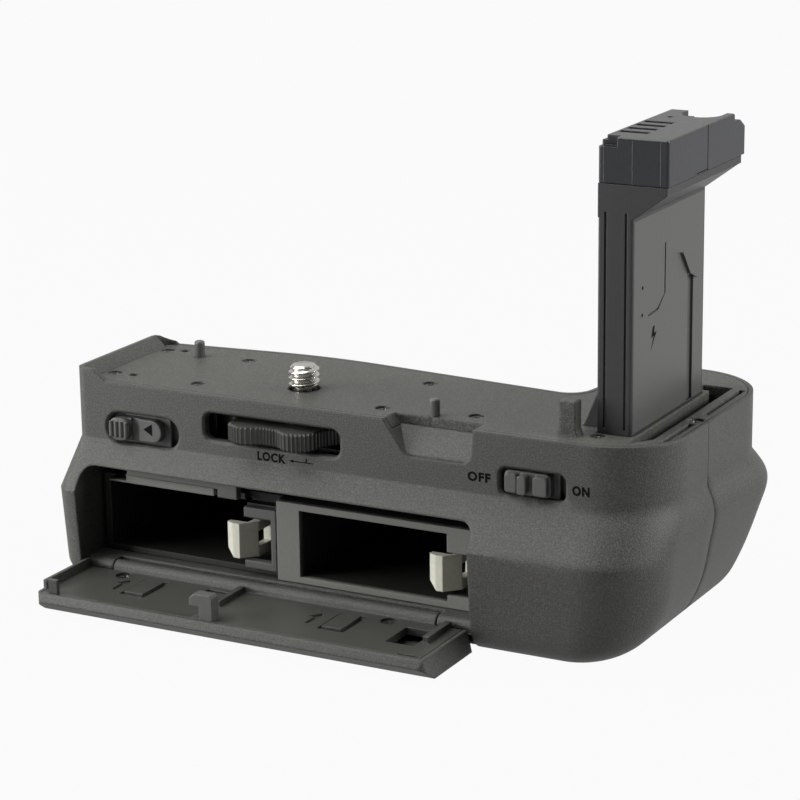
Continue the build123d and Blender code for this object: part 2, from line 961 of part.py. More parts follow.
# Top plate that the camera sits on, with the hinge tab and the board's stand-offs
with BuildPart() as top_plate:
    with BuildSketch():
        casing_outline(0, plate_margin + seam_gap)
    extrude(amount=-plate_thickness)
    cut_notch()
    run_y(
        [
            (tab_foot_left, -edge_radius),
            (tab_foot_left, 0),
            (tab_left, tab_foot_height),
            (tab_left, tab_height),
            (tab_right, tab_height),
            (tab_right, tab_foot_height),
            (tab_foot_right, 0),
            (tab_foot_right, -edge_radius),
        ],
        (tab_rear, tab_front),
    )
    fillet(top_plate.edges().group_by(Axis.Z)[-1], tab_edge_radius)
    for x, y in standoff_spots:
        rod((x, y, -plate_thickness), down, standoff_radius, -board_top - plate_thickness)
        rod((x, y, board_top), up, board_screw_shank + snug_gap, board_screw_length, mode=Mode.SUBTRACT)
    for x, y in rear_screws + front_screws + pocket_screws:
        rod(
            (x, y, 0),
            down,
            plate_screw_head_radius + snug_gap,
            plate_screw_recess + plate_screw_head_height,
            mode=Mode.SUBTRACT,
        )
        rod((x, y, 0), down, plate_screw_shank_radius + snug_gap, 2 * plate_thickness, mode=Mode.SUBTRACT)
    for x, y in (peg_hole_rear, peg_hole_front):
        rod((x, y, 0), down, peg_hole_radius, peg_hole_depth, mode=Mode.SUBTRACT)
    for x, y in (left_pin, right_pin):
        rod((x, y, 0), down, pin_radius + snug_gap, plate_thickness, mode=Mode.SUBTRACT)
    rod((0, 0, 0), down, screw_hole_radius, plate_thickness, mode=Mode.SUBTRACT)
    block(
        (stem_left - seam_gap, stem_right + seam_gap),
        (stem_rear - seam_gap, stem_front + seam_gap),
        (-plate_thickness, 0),
        mode=Mode.SUBTRACT,
    )
    block(
        (gusset_foot_x - seam_gap, stem_left),
        (gusset_rear - seam_gap, gusset_front + seam_gap),
        (-plate_thickness, 0),
        mode=Mode.SUBTRACT,
    )
    run_z(pocket_points, (-plate_thickness, 0), mode=Mode.SUBTRACT)
    for y_limits in (rear_slit_limits, front_slit_limits):
        block(
            (slit_x - slit_width / 2, slit_x + slit_width / 2),
            y_limits,
            (-slit_depth, 0),
            mode=Mode.SUBTRACT,
        )
finish_piece(top_plate, "top_plate")

# Screws along the plate's edges
with BuildPart() as plate_screws:
    for x, y in rear_screws + front_screws + pocket_screws:
        rod((x, y, -plate_screw_recess), down, plate_screw_head_radius, plate_screw_head_height)
    for x, y in rear_screws + front_screws:
        rod((x, y, -plate_screw_recess), down, plate_screw_shank_radius, plate_screw_length)
    for x, y in pocket_screws:
        rod((x, y, -plate_screw_recess), down, plate_screw_shank_radius, short_screw_length)
finish_piece(plate_screws, "plate_screws")

# Two pins that enter the camera's base beside its tripod socket
with BuildPart() as locating_pins:
    for x, y in (left_pin, right_pin):
        rod((x, y, -plate_thickness), up, pin_radius, plate_thickness + pin_height)
    fillet(locating_pins.edges().group_by(Axis.Z)[-1], pin_dome)
finish_piece(locating_pins, "locating_pins")

# Bridge under the plate that carries the foot of the camera screw
with BuildPart() as screw_bridge:
    block(
        (-bridge_half_width, bridge_half_width),
        (bridge_rear, bridge_front),
        (-bridge_bottom, -bridge_top),
    )
    for side in (-bridge_half_width, bridge_half_width - bridge_leg_width):
        block(
            (side, side + bridge_leg_width),
            (bridge_rear, bridge_front),
            (-bridge_top, -plate_thickness),
        )
    rod(
        (0, 0, -plate_thickness),
        down,
        bridge_wheel_room,
        bridge_top - plate_thickness,
        mode=Mode.SUBTRACT,
    )
    rod((0, 0, 0), down, screw_journal_radius + running_gap, casing_height, mode=Mode.SUBTRACT)
finish_piece(screw_bridge, "screw_bridge")

# Lobed and knurled thumb wheel
with BuildPart() as clamp_wheel:
    run_z(wheel_points, (-wheel_bottom, -wheel_top))
    rod((0, 0, 0), down, screw_journal_radius + snug_gap, casing_height, mode=Mode.SUBTRACT)
finish_piece(clamp_wheel, "clamp_wheel")

# Screw that clamps the grip to the camera
with BuildPart() as camera_screw:
    rod((0, 0, 0), up, thread_radius, thread_top)
    chamfer(camera_screw.edges().group_by(Axis.Z)[-1], thread_chamfer)
    rod((0, 0, -wheel_top), up, screw_neck_radius, wheel_top)
    rod((0, 0, -screw_collar_top), down, screw_collar_radius, wheel_top - screw_collar_top)
    rod((0, 0, -wheel_top), down, screw_journal_radius, screw_journal_end - wheel_top)
finish_piece(camera_screw, "camera_screw")

# Ring that keeps the screw in its bridge
with BuildPart() as screw_clip:
    rod((0, 0, -bridge_bottom - clip_gap), down, clip_radius, clip_thickness)
    rod((0, 0, 0), down, screw_journal_radius + snug_gap, casing_height, mode=Mode.SUBTRACT)
finish_piece(screw_clip, "screw_clip")

# Battery tray with two bays side by side
with BuildPart() as battery_tray:
    block((tray_left, tray_right), (tray_rear, tray_end), (tray_floor, tray_top))
    block(
        (tray_left, tray_divide),
        (tray_rear, left_tray_rear),
        (tray_floor, tray_top),
        mode=Mode.SUBTRACT,
    )
    block((strip_left, strip_right), (strip_rear, left_tray_rear), (strip_bottom, strip_top))
    block((strip_left, strip_right), (left_tray_rear, -left_tray_rear), (tray_top, strip_top))
    block(
        (ledge_left, strip_left),
        (strip_rear, left_tray_rear),
        (strip_bottom, strip_bottom + ledge_thickness),
    )
    for left in bay_lefts:
        block(
            (left, left + bay_width),
            (tray_rear, bay_end),
            (bay_floor, bay_ceiling),
            mode=Mode.SUBTRACT,
        )
    for shift in latch_shifts:
        block(
            (latch_arm_left - 2 * slide_gap + shift, latch_notch_right + shift),
            (tray_rear, latch_notch_front),
            (latch_notch_bottom, latch_notch_top),
            mode=Mode.SUBTRACT,
        )
        rod(
            (latch_pivot_x + shift, latch_pivot_y, latch_notch_bottom - latch_pin_reach),
            up,
            latch_pin_radius + snug_gap,
            latch_notch_top - latch_notch_bottom + 2 * latch_pin_reach,
            mode=Mode.SUBTRACT,
        )
        for index in range(contact_count):
            x = left_bay_left + bay_pitch + shift + bay_width / 2 + (index - 1) * contact_pitch
            block(
                (x - contact_width / 2 - snug_gap, x + contact_width / 2 + snug_gap),
                (bay_end, tray_end),
                (contact_z - contact_height / 2 - snug_gap, contact_z + contact_height / 2 + snug_gap),
                mode=Mode.SUBTRACT,
            )
    block(
        (hook_pocket_left, hook_pocket_right),
        (tray_rear, hook_pocket_front),
        (hook_pocket_floor, tray_top),
        mode=Mode.SUBTRACT,
    )
    block(
        (hollow_left, hollow_right),
        (hollow_rear, hollow_front),
        (tray_floor, tray_top),
        mode=Mode.SUBTRACT,
    )
    for x in tray_leg_x_rows:
        block(
            (x - tray_leg_width / 2, x + tray_leg_width / 2),
            (tray_leg_rear, tray_leg_front),
            (wall - casing_height + snug_gap, tray_floor),
        )
finish_piece(battery_tray, "battery_tray")

# C-shaped bracket round the left latch
with BuildPart() as latch_bracket:
    block(
        (bracket_left, bracket_right),
        (tray_rear, left_tray_rear - snug_gap),
        (bracket_bottom, bracket_top),
    )
    block(
        (bracket_left, bracket_right - bracket_bar),
        (tray_rear, left_tray_rear),
        (bracket_bottom + bracket_foot, bracket_top - bracket_arm),
        mode=Mode.SUBTRACT,
    )
finish_piece(latch_bracket, "latch_bracket")

# Spring contacts at the far end of each bay
with BuildPart() as cell_contacts:
    for left in bay_lefts:
        for index in range(contact_count):
            x = left + bay_width / 2 + (index - 1) * contact_pitch
            block(
                (x - contact_width / 2, x + contact_width / 2),
                (bay_end - contact_reach, tray_end),
                (contact_z - contact_height / 2, contact_z + contact_height / 2),
            )
finish_piece(cell_contacts, "cell_contacts")

# Bent leaf springs that push a released cell out
with BuildPart() as eject_springs:
    for left in bay_lefts:
        centre_x = left + bay_width / 2 - spring_offset
        run_z(
            [
                (centre_x - spring_width / 2, bay_end),
                (centre_x - spring_width / 2, bay_end - spring_thickness),
                (centre_x - spring_foot / 2, bay_end - spring_bow),
                (centre_x + spring_foot / 2, bay_end - spring_bow),
                (centre_x + spring_width / 2, bay_end - spring_thickness),
                (centre_x + spring_width / 2, bay_end),
                (centre_x + spring_foot / 2, bay_end + spring_thickness - spring_bow),
                (centre_x - spring_foot / 2, bay_end + spring_thickness - spring_bow),
            ],
            (spring_z - spring_height / 2, spring_z + spring_height / 2),
        )
finish_piece(eject_springs, "eject_springs")

# Pins on which the cell latches swing
with BuildPart() as latch_pins:
    for shift in latch_shifts:
        rod(
            (latch_pivot_x + shift, latch_pivot_y, latch_notch_bottom - latch_pin_reach),
            up,
            latch_pin_radius,
            latch_notch_top - latch_notch_bottom + 2 * latch_pin_reach,
        )
finish_piece(latch_pins, "latch_pins")


def cut_latch(shift):
    """A cell latch: a hooked nose on an arm that swings about an upright pin."""
    run_z(
        [
            (latch_tip + latch_chamfer_width + shift, latch_rear),
            (latch_face_right + shift, latch_rear),
            (latch_arm_right + shift, latch_heel_y),
            (latch_arm_right + shift, latch_pivot_y),
            (latch_arm_left + shift, latch_pivot_y),
            (latch_arm_left + shift, latch_nose_front),
            (latch_tip + shift, latch_nose_front),
            (latch_tip + shift, latch_rear + latch_chamfer_depth),
        ],
        (latch_bottom, latch_top),
    )
    pivot = (latch_pivot_x + shift, latch_pivot_y, latch_bottom)
    rod(pivot, up, latch_boss_radius, latch_top - latch_bottom)
    rod(pivot, up, latch_pin_radius + running_gap, latch_top - latch_bottom, mode=Mode.SUBTRACT)
    run_y(
        [
            (latch_tip + shift, latch_bottom),
            (latch_tip + latch_corner_cut + shift, latch_bottom),
            (latch_tip + shift, latch_bottom + latch_corner_cut),
        ],
        (latch_rear, latch_nose_front),
        mode=Mode.SUBTRACT,
    )
    block(
        (latch_tip + shift, latch_notch_right + shift),
        (latch_window_rear, latch_window_front),
        (latch_bottom + latch_window_margin, latch_top - latch_window_margin),
        mode=Mode.SUBTRACT,
    )


# Latch of the right bay
with BuildPart() as latch_right:
    cut_latch(0)
finish_piece(latch_right, "latch_right")

# Latch of the left bay
with BuildPart() as latch_left:
    cut_latch(-bay_pitch)
finish_piece(latch_left, "latch_left")

# Outer shell of the battery door, with its hinge barrel and heel
door_cover_left = door_left + door_gap
door_cover_right = door_right - door_gap
with BuildPart() as door_cover:
    run_x(
        [
            (hinge_y, door_inner_z),
            (door_rim_y, door_inner_z),
            (door_tip_y, door_tip_z),
            (door_foot_y, door_outer_z),
            (hinge_y, door_outer_z),
        ],
        (door_cover_left, door_cover_right),
    )
    run_y(
        [
            (door_cover_right - door_side_bevel, door_inner_z),
            (door_cover_right, door_inner_z),
            (door_cover_right, door_outer_z),
        ],
        (2 * door_tip_y, 0),
        mode=Mode.SUBTRACT,
    )
    block(
        (door_cover_left, door_cover_left + rim_wall_thickness),
        (door_rim_y + door_corner_radius, liner_hinge_y),
        (door_inner_z, door_inner_z + rim_wall_height),
    )
    # Round the two corners that meet the opening's upper corners when the door is shut
    with BuildSketch(Plane.XY.offset(door_outer_z)) as door_plan:
        with Locations(((door_cover_left + door_cover_right) / 2, 0)):
            RectangleRounded(
                door_cover_right - door_cover_left,
                -2 * door_tip_y,
                opening_corner_radius - door_gap,
            )
    extrude(door_plan.sketch, amount=-door_outer_z, mode=Mode.INTERSECT)
    # Bed for the liner, and the hollow under it
    block(
        (door_cover_left + liner_rim, door_cover_right - door_side_bevel - liner_rim),
        (door_rim_y + liner_rim, liner_hinge_y),
        (door_inner_z - liner_thickness, door_inner_z),
        mode=Mode.SUBTRACT,
    )
    block(
        (door_cover_left + 3 * liner_rim, door_cover_right - 3 * liner_rim),
        (door_foot_y + liner_rim, liner_hinge_y - liner_rim),
        (door_outer_z + door_skin, door_inner_z),
        mode=Mode.SUBTRACT,
    )
    for x in (door_screw_left_x, door_screw_right_x):
        rod(
            (x, door_screw_y, door_outer_z + door_skin / 2),
            up,
            boss_radius,
            door_inner_z - liner_thickness - door_outer_z - door_skin / 2,
        )
    # Hinge barrel and heel, clear of the knuckles
    for x_limits in ((door_cover_left, barrel_left), (barrel_right, door_cover_right)):
        block(
            x_limits,
            (hinge_y - barrel_radius - heel_clearance, hinge_y),
            (door_outer_z, door_inner_z),
            mode=Mode.SUBTRACT,
        )
    with BuildSketch(Plane.YZ.offset(barrel_left)) as heel:
        with Locations((hinge_y, hinge_z)):
            Circle(heel_radius)
        with Locations((hinge_y - heel_radius, hinge_z)):
            Rectangle(2 * heel_radius, 4 * heel_radius, mode=Mode.SUBTRACT)
        with Locations((hinge_y + heel_radius, hinge_z + heel_radius)):
            Rectangle(4 * heel_radius, 2 * heel_radius, mode=Mode.SUBTRACT)
    extrude(heel.sketch, amount=barrel_right - barrel_left)
    rod((barrel_left, hinge_y, hinge_z), (1, 0, 0), barrel_radius, barrel_right - barrel_left)
    rod(
        (barrel_left, hinge_y, hinge_z),
        (1, 0, 0),
        hinge_pin_radius + running_gap,
        barrel_right - barrel_left,
        mode=Mode.SUBTRACT,
    )
    for x in (door_screw_left_x, door_screw_right_x):
        rod(
            (x, door_screw_y, door_inner_z),
            down,
            door_screw_shank_radius + snug_gap,
            door_screw_length + door_screw_recess,
            mode=Mode.SUBTRACT,
        )
finish_piece(door_cover, "door_cover")

# Liner screwed into the door, with its guide ribs, post and moulded signs
with BuildPart() as door_liner:
    block(
        (door_cover_left + liner_rim + seam_gap, door_cover_right - door_side_bevel - liner_rim - seam_gap),
        (door_rim_y + liner_rim + seam_gap, liner_hinge_y - seam_gap),
        (door_inner_z - liner_thickness, door_inner_z),
    )
    block((post_left, post_right), (post_rear, post_front), (door_inner_z, post_top))
    for x in (centre_rib_x, right_rib_x):
        with Locations((x, rib_y, door_inner_z + guide_rib_height / 2)):
            Box(guide_rib_width, guide_rib_length, guide_rib_height)
    for x in (door_screw_left_x, door_screw_right_x):
        rod(
            (x, door_screw_y, door_inner_z),
            down,
            door_screw_radius + snug_gap,
            door_screw_recess + door_screw_head,
            mode=Mode.SUBTRACT,
        )
        rod(
            (x, door_screw_y, door_inner_z),
            down,
            door_screw_shank_radius + snug_gap,
            liner_thickness,
            mode=Mode.SUBTRACT,
        )
    block(
        (window_left, window_right),
        (window_rear, window_front),
        (door_inner_z - liner_thickness, door_inner_z),
        mode=Mode.SUBTRACT,
    )
    with Locations((liner_slot_x, liner_slot_y, door_inner_z)):
        Box(liner_slot_width, liner_slot_depth, liner_thickness, mode=Mode.SUBTRACT)
    with Locations((edge_slot_x, edge_slot_y, door_inner_z)):
        Box(edge_slot_width, edge_slot_depth, liner_thickness, mode=Mode.SUBTRACT)
    block(
        (hook_left, hook_right),
        (hook_rear, hook_front),
        (door_inner_z - liner_thickness / 2, door_inner_z),
        mode=Mode.SUBTRACT,
    )
    for x in (sign_cell_left_x, sign_cell_right_x):
        with Locations((x, sign_cell_y, door_inner_z)):
            Box(sign_cell_width, sign_cell_length, 2 * sign_depth, mode=Mode.SUBTRACT)
            Box(sign_cell_width - 2 * sign_line, sign_cell_length - 2 * sign_line, 2 * sign_depth)
    for x in (sign_arrow_left_x, sign_arrow_right_x):
        run_z(
            [
                (x - sign_arrow_width / 2, sign_arrow_foot_y),
                (x + sign_arrow_width / 2, sign_arrow_foot_y),
                (x + sign_arrow_width / 2, sign_arrow_neck_y),
                (x + sign_arrow_head / 2, sign_arrow_neck_y),
                (x, sign_arrow_tip_y),
                (x - sign_arrow_head / 2, sign_arrow_neck_y),
                (x - sign_arrow_width / 2, sign_arrow_neck_y),
            ],
            (door_inner_z - sign_depth, door_inner_z),
            mode=Mode.SUBTRACT,
        )
finish_piece(door_liner, "door_liner")

# Hook that the release slide's catch holds when the door is shut
with BuildPart() as door_hook:
    hook_depths = (hook_rear + seam_gap, hook_front - seam_gap)
    block((hook_left, hook_right), hook_depths, (door_inner_z - liner_thickness / 2, door_inner_z))
    block((hook_stem_left, hook_right), hook_depths, (door_inner_z, hook_throat))
    run_y(
        [
            (hook_left, hook_throat),
            (hook_right, hook_throat),
            (hook_right, hook_top - hook_corner / 2),
            (hook_right - hook_corner / 2, hook_top),
            (hook_left + hook_corner, hook_top),
            (hook_left, hook_top - hook_corner),
        ],
        hook_depths,
    )
finish_piece(door_hook, "door_hook")

# Screws that hold the liner in the door
with BuildPart() as door_screws:
    for x in (door_screw_left_x, door_screw_right_x):
        rod((x, door_screw_y, door_inner_z - door_screw_recess), down, door_screw_radius, door_screw_head)
        rod(
            (x, door_screw_y, door_inner_z - door_screw_recess),
            down,
            door_screw_shank_radius,
            door_screw_length,
        )
finish_piece(door_screws, "door_screws")

# Pin through the knuckles and the door's barrel
with BuildPart() as door_hinge_pin:
    rod((hinge_pin_left, hinge_y, hinge_z), (1, 0, 0), hinge_pin_radius, hinge_pin_right - hinge_pin_left)
finish_piece(door_hinge_pin, "door_hinge_pin")

# Release slide: a ribbed grip and a flat end on a flanged bar, with the catch on a leg below
slide_right = slide_left + slide_length
with BuildPart() as release_slide:
    rear_pad(
        (slide_left, slide_right),
        (slide_slot_bottom + slide_margin, slide_slot_top - slide_margin),
        slide_slot_radius - slide_margin,
        (slide_face, slide_flange_rear),
    )
    rear_pad(
        (slide_left, slide_left + slide_grip_length),
        (slide_slot_bottom + slide_margin, slide_slot_top - slide_margin),
        slide_grip_length / 2 - edge_radius,
        (slide_face - slide_grip_rise, slide_face),
    )
    for index in range(slide_ridge_count):
        x = slide_left + slide_ridge_pitch * (index + 1 / 2)
        rod(
            (x, slide_face - slide_grip_rise, slide_slot_bottom + slide_slot_radius / 2),
            up,
            slide_ridge_radius,
            slide_slot_top - slide_slot_bottom - slide_slot_radius,
        )
    block(
        (slide_left + slide_grip_length, slide_left + slide_grip_length + slide_step_length),
        (slide_face, slide_face + slide_step_depth),
        (slide_slot_bottom, slide_slot_top),
        mode=Mode.SUBTRACT,
    )
    block(
        (slide_left - slide_flange_margin, slide_right + slide_flange_margin),
        (slide_flange_rear, slide_flange_rear + slide_flange),
        (slide_slot_bottom - slide_flange_margin, slide_slot_top + slide_flange_margin),
    )
    block(
        (catch_leg_left, catch_leg_right),
        (slide_flange_rear, slide_flange_rear + slide_flange),
        (catch_bar_bottom, slide_slot_bottom),
    )
    block(
        (catch_leg_left, catch_leg_right),
        (catch_rear, slide_flange_rear),
        (catch_bar_bottom, catch_bar_top),
    )
    block(
        (catch_leg_left, catch_tongue_right),
        (catch_rear, catch_front),
        (catch_bar_bottom, catch_bar_top),
    )
    block(
        (catch_tongue_left, catch_tongue_right),
        (catch_rear, catch_front),
        (catch_tongue_bottom, catch_bar_bottom),
    )
finish_piece(release_slide, "release_slide")

# Power switch with its raised pads
switch_right = switch_left + switch_length
with BuildPart() as power_switch:
    rear_pad(
        (switch_left, switch_right),
        (switch_slot_bottom + switch_margin, switch_slot_top - switch_margin),
        switch_slot_radius - switch_margin,
        (switch_face, slide_flange_rear),
    )
    for pad_left, pad_right, pad_rise in switch_pads:
        rear_pad(
            (pad_left, pad_right),
            (switch_slot_bottom + 2 * switch_margin, switch_slot_top - 2 * switch_margin),
            edge_radius,
            (switch_face - pad_rise, switch_face),
        )
    block(
        (switch_left - switch_flange_margin, switch_right + switch_flange_margin),
        (slide_flange_rear, slide_flange_rear + slide_flange),
        (switch_slot_bottom - switch_flange_margin, switch_slot_top + switch_flange_margin),
    )
finish_piece(power_switch, "power_switch")

# Insert that fills the camera's battery chamber: stem, foot flange, shoulder and rim
with BuildPart() as insert_stem:
    block((stem_left, stem_right), (stem_rear, stem_front), (stem_foot, stem_top))
    fillet(insert_stem.edges().filter_by(Axis.Z), stem_edge_radius)
    block(
        (stem_left - flange_margin, stem_right),
        (stem_rear - flange_margin, stem_front),
        (-plate_thickness - seam_gap - flange_thickness, -plate_thickness - seam_gap),
    )
    run_x(
        [
            (stem_rear, shoulder_bottom),
            (stem_front, shoulder_bottom),
            (stem_front, shoulder_top),
            (strip_front, shoulder_top),
            (strip_front, stem_top),
            (stem_rear, stem_top),
        ],
        (stem_left, shoulder_right),
    )
    run_y(
        [
            (stem_right, shoulder_bottom),
            (shoulder_right, shoulder_bottom),
            (shoulder_right, shoulder_top),
        ],
        (2 * stem_rear, 2 * stem_front),
        mode=Mode.SUBTRACT,
    )
    run_y(
        [
            (gusset_foot_x, seam_gap - plate_thickness),
            (gusset_foot_x, 0),
            (stem_left, gusset_height),
            (stem_left + edge_radius, gusset_height),
            (stem_left + edge_radius, seam_gap - plate_thickness),
        ],
        (gusset_rear, gusset_front),
    )
    block(
        (stem_left + core_wall, stem_right - core_wall),
        (stem_rear + core_wall, stem_front - core_wall),
        (stem_foot, core_top),
        mode=Mode.SUBTRACT,
    )
    block(
        (stem_right - cover_thickness, stem_right),
        (cover_rear - snug_gap, cover_front + snug_gap),
        (cover_bottom - snug_gap, cover_top + snug_gap),
        mode=Mode.SUBTRACT,
    )
    for x in (front_rib_left, front_rib_right):
        with Locations((x, stem_rear, (plate_thickness + shoulder_bottom) / 2)):
            Box(front_groove_width, 2 * front_groove_depth, shoulder_bottom, mode=Mode.SUBTRACT)
finish_piece(insert_stem, "insert_stem")

# Smooth side panel of the insert, with its moulded guide line and arrowhead
with BuildPart() as insert_cover:
    block(
        (stem_right - cover_thickness, stem_right),
        (cover_rear, cover_front),
        (cover_bottom, cover_top),
    )
    run_x(
        [arrow_tip, arrow_front, arrow_foot, arrow_inner],
        (stem_right - edge_radius, stem_right + arrow_rise),
    )
    block(
        (stem_right - groove_depth, stem_right),
        (arrow_groove_rear, arrow_groove_front),
        (cover_bottom, arrow_groove_top),
        mode=Mode.SUBTRACT,
    )
    block(
        (stem_right - groove_depth, stem_right),
        (curve_groove_y - groove_width / 2, curve_groove_y + groove_width / 2),
        (curve_groove_bend, curve_groove_top),
        mode=Mode.SUBTRACT,
    )
    run_x(
        [
            (curve_groove_y - groove_width / 2, curve_groove_bend),
            (curve_groove_y + groove_width / 2, curve_groove_bend),
            (curve_groove_knee_y + groove_width / 2, curve_groove_knee_z),
            (curve_groove_end_y, curve_groove_end_z - groove_width / 2),
            (curve_groove_end_y, curve_groove_end_z + groove_width / 2),
            (curve_groove_knee_y - groove_width / 2, curve_groove_knee_z + groove_width),
        ],
        (stem_right - groove_depth, stem_right),
        mode=Mode.SUBTRACT,
    )
finish_piece(insert_cover, "insert_cover")

# Head of the insert, with its contact slots
with BuildPart() as contact_head:
    run_x(
        [
            (stem_rear, head_bottom),
            (stem_rear, head_top),
            (head_top_front, head_top),
            (head_top_front, head_step_z),
            (head_step_front, head_step_z),
            (head_far_front, head_far_z),
            (head_far_front, head_bottom),
        ],
        (stem_left, head_right),
    )
    fillet(contact_head.edges().filter_by(Axis.Z).group_by(Axis.Y)[0], stem_edge_radius)
    fillet(contact_head.edges().filter_by(Axis.X).group_by(Axis.Z)[-1].group_by(Axis.Y)[0], head_edge_radius)
    for index in range(head_slot_count):
        y = head_slot_y + index * head_slot_pitch
        block(
            (head_slot_left, head_slot_right),
            (y - head_slot_width / 2, y + head_slot_width / 2),
            (head_top - head_slot_depth, head_top),
            mode=Mode.SUBTRACT,
        )
    rod((head_hole_x, head_hole_y, head_top), down, head_hole_radius, head_hole_depth, mode=Mode.SUBTRACT)
    rod((scoop_x, scoop_y, scoop_floor), up, scoop_radius, head_top - scoop_floor, mode=Mode.SUBTRACT)
    block(
        (scoop_x - scoop_radius, scoop_x + scoop_radius),
        (scoop_y, head_far_front),
        (scoop_floor, head_top),
        mode=Mode.SUBTRACT,
    )
    block(
        (stem_left, stem_left + head_ledge_width),
        (stem_rear, head_top_front),
        (head_ledge_z, head_top),
        mode=Mode.SUBTRACT,
    )
    block(
        (stem_left, head_notch_right),
        (stem_rear, head_notch_front),
        (head_notch_floor, head_top),
        mode=Mode.SUBTRACT,
    )
finish_piece(contact_head, "contact_head")

# Spring blades in the head's slots
with BuildPart() as head_contacts:
    for index in range(head_slot_count):
        y = head_slot_y + index * head_slot_pitch
        block(
            (head_slot_left + blade_inset, head_slot_right - blade_inset),
            (y - blade_thickness / 2, y + blade_thickness / 2),
            (head_top - head_slot_depth, head_top - head_slot_depth + blade_height),
        )
finish_piece(head_contacts, "head_contacts")

# Storage pocket for the camera's own battery door
with BuildPart() as pocket_liner:
    run_z(pocket_points, (-plate_thickness - pocket_depth, -plate_thickness))
    offset(pocket_liner.part, amount=pocket_wall, kind=Kind.INTERSECTION, mode=Mode.REPLACE)
    block(
        (0, 2 * right_reach),
        (-grip_reach, grip_reach),
        (-plate_thickness, plate_thickness),
        mode=Mode.SUBTRACT,
    )
    run_z(pocket_points, (-plate_thickness - pocket_depth, -plate_thickness), mode=Mode.SUBTRACT)
finish_piece(pocket_liner, "pocket_liner")

# Circuit board under the power switch
with BuildPart() as circuit_board:
    block((board_left, board_right), (board_rear, board_front), (board_top - board_thickness, board_top))
    for x, y in standoff_spots:
        rod((x, y, board_top), down, board_screw_shank + snug_gap, board_thickness, mode=Mode.SUBTRACT)
    with Locations(((board_left + board_right) / 2, (board_rear + board_front) / 2, board_top + chip_height / 2)):
        Box(chip_size, chip_size, chip_height)
finish_piece(circuit_board, "circuit_board")

# Screws that hold the board to the plate's stand-offs
with BuildPart() as board_screws:
    for x, y in standoff_spots:
        rod((x, y, board_top - board_thickness), down, board_screw_radius, board_screw_head)
        rod((x, y, board_top - board_thickness), up, board_screw_shank, board_screw_length)
finish_piece(board_screws, "board_screws")

# Cup in the hand grip that holds the shutter button and its dome switch
with BuildPart() as shutter_cup:
    rod(on_button_axis(cup_proud - cup_length), button_direction, cup_radius, cup_length)
    rod(
        on_button_axis(cup_proud - cup_length + cup_floor),
        button_direction,
        cup_bore,
        cup_length,
        mode=Mode.SUBTRACT,
    )
    rod(on_button_axis(cup_proud - cup_length + cup_floor), button_direction, dome_radius, dome_height)
finish_piece(shutter_cup, "shutter_cup")

# Shutter button
with BuildPart() as shutter_button:
    rod(on_button_axis(button_proud - button_length), button_direction, button_radius, button_length)
    rod(
        on_button_axis(button_proud - button_length - button_stem_length),
        button_direction,
        button_stem_radius,
        button_stem_length,
    )
finish_piece(shutter_button, "shutter_button")

# Threaded bush in the base
with BuildPart() as tripod_bush:
    rod((0, bush_y, -casing_height), up, bush_flange_radius, bush_flange)
    rod((0, bush_y, -casing_height), up, bush_radius, bush_top + casing_height)
    rod((0, bush_y, -casing_height), up, bush_bore_radius, bush_bore_length, mode=Mode.SUBTRACT)
finish_piece(tripod_bush, "tripod_bush")

# Screws in the base
with BuildPart() as base_screws:
    for x, y in base_screw_spots:
        head = (x, y, base_screw_recess - casing_height)
        rod(head, up, base_screw_radius, base_screw_head)
        rod(head, up, base_screw_shank, base_screw_tip + casing_height - base_screw_recess)
finish_piece(base_screws, "base_screws")
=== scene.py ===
# %% [markdown]
# A camera battery grip, dressed for its portrait.
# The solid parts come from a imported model, already in place and at their real size.
# This lesson gives them their moulded plastic, rubber and metal, and adds the fine
# things that the solids leave out: the screw's thread, the words, the screw heads.
# Lengths here are metres, as Blender counts them, and `mm` turns millimetres into them.

# %% Load the solid parts
import math

import bmesh
import bpy
from mathutils import Matrix, Vector
from mathutils.bvhtree import BVHTree


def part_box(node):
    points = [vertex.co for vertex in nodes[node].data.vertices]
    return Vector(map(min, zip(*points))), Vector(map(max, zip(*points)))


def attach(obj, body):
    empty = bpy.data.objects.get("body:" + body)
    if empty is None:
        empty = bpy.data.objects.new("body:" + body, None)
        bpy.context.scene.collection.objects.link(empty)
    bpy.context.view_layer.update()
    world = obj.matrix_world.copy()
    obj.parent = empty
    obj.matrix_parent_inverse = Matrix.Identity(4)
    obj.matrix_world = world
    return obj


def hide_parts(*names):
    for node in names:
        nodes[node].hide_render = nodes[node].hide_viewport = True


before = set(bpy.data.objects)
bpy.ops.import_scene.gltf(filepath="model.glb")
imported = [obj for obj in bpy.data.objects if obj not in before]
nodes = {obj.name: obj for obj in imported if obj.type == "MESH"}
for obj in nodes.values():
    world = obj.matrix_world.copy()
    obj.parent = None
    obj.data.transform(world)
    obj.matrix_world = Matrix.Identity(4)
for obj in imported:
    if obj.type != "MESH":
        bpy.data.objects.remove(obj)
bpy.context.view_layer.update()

mm = 0.001

# %% [markdown]
# ## The camera
# The photograph was taken from the rear right of the grip, a little above it, with a long lens.
# The camera's place was worked out from the clamp screw, whose width is a standard one,
# and from the long straight edges of the casing. A long lens keeps those edges almost parallel.

# %% Place the camera
camera_place = Vector((273.8, -467.6, 147.8)) * mm
camera_turn = 28.29
camera_dip = 15.54
camera_roll = -0.77
camera_lens = 123.86
sensor_width = 36.0
nearest_seen = 10 * mm

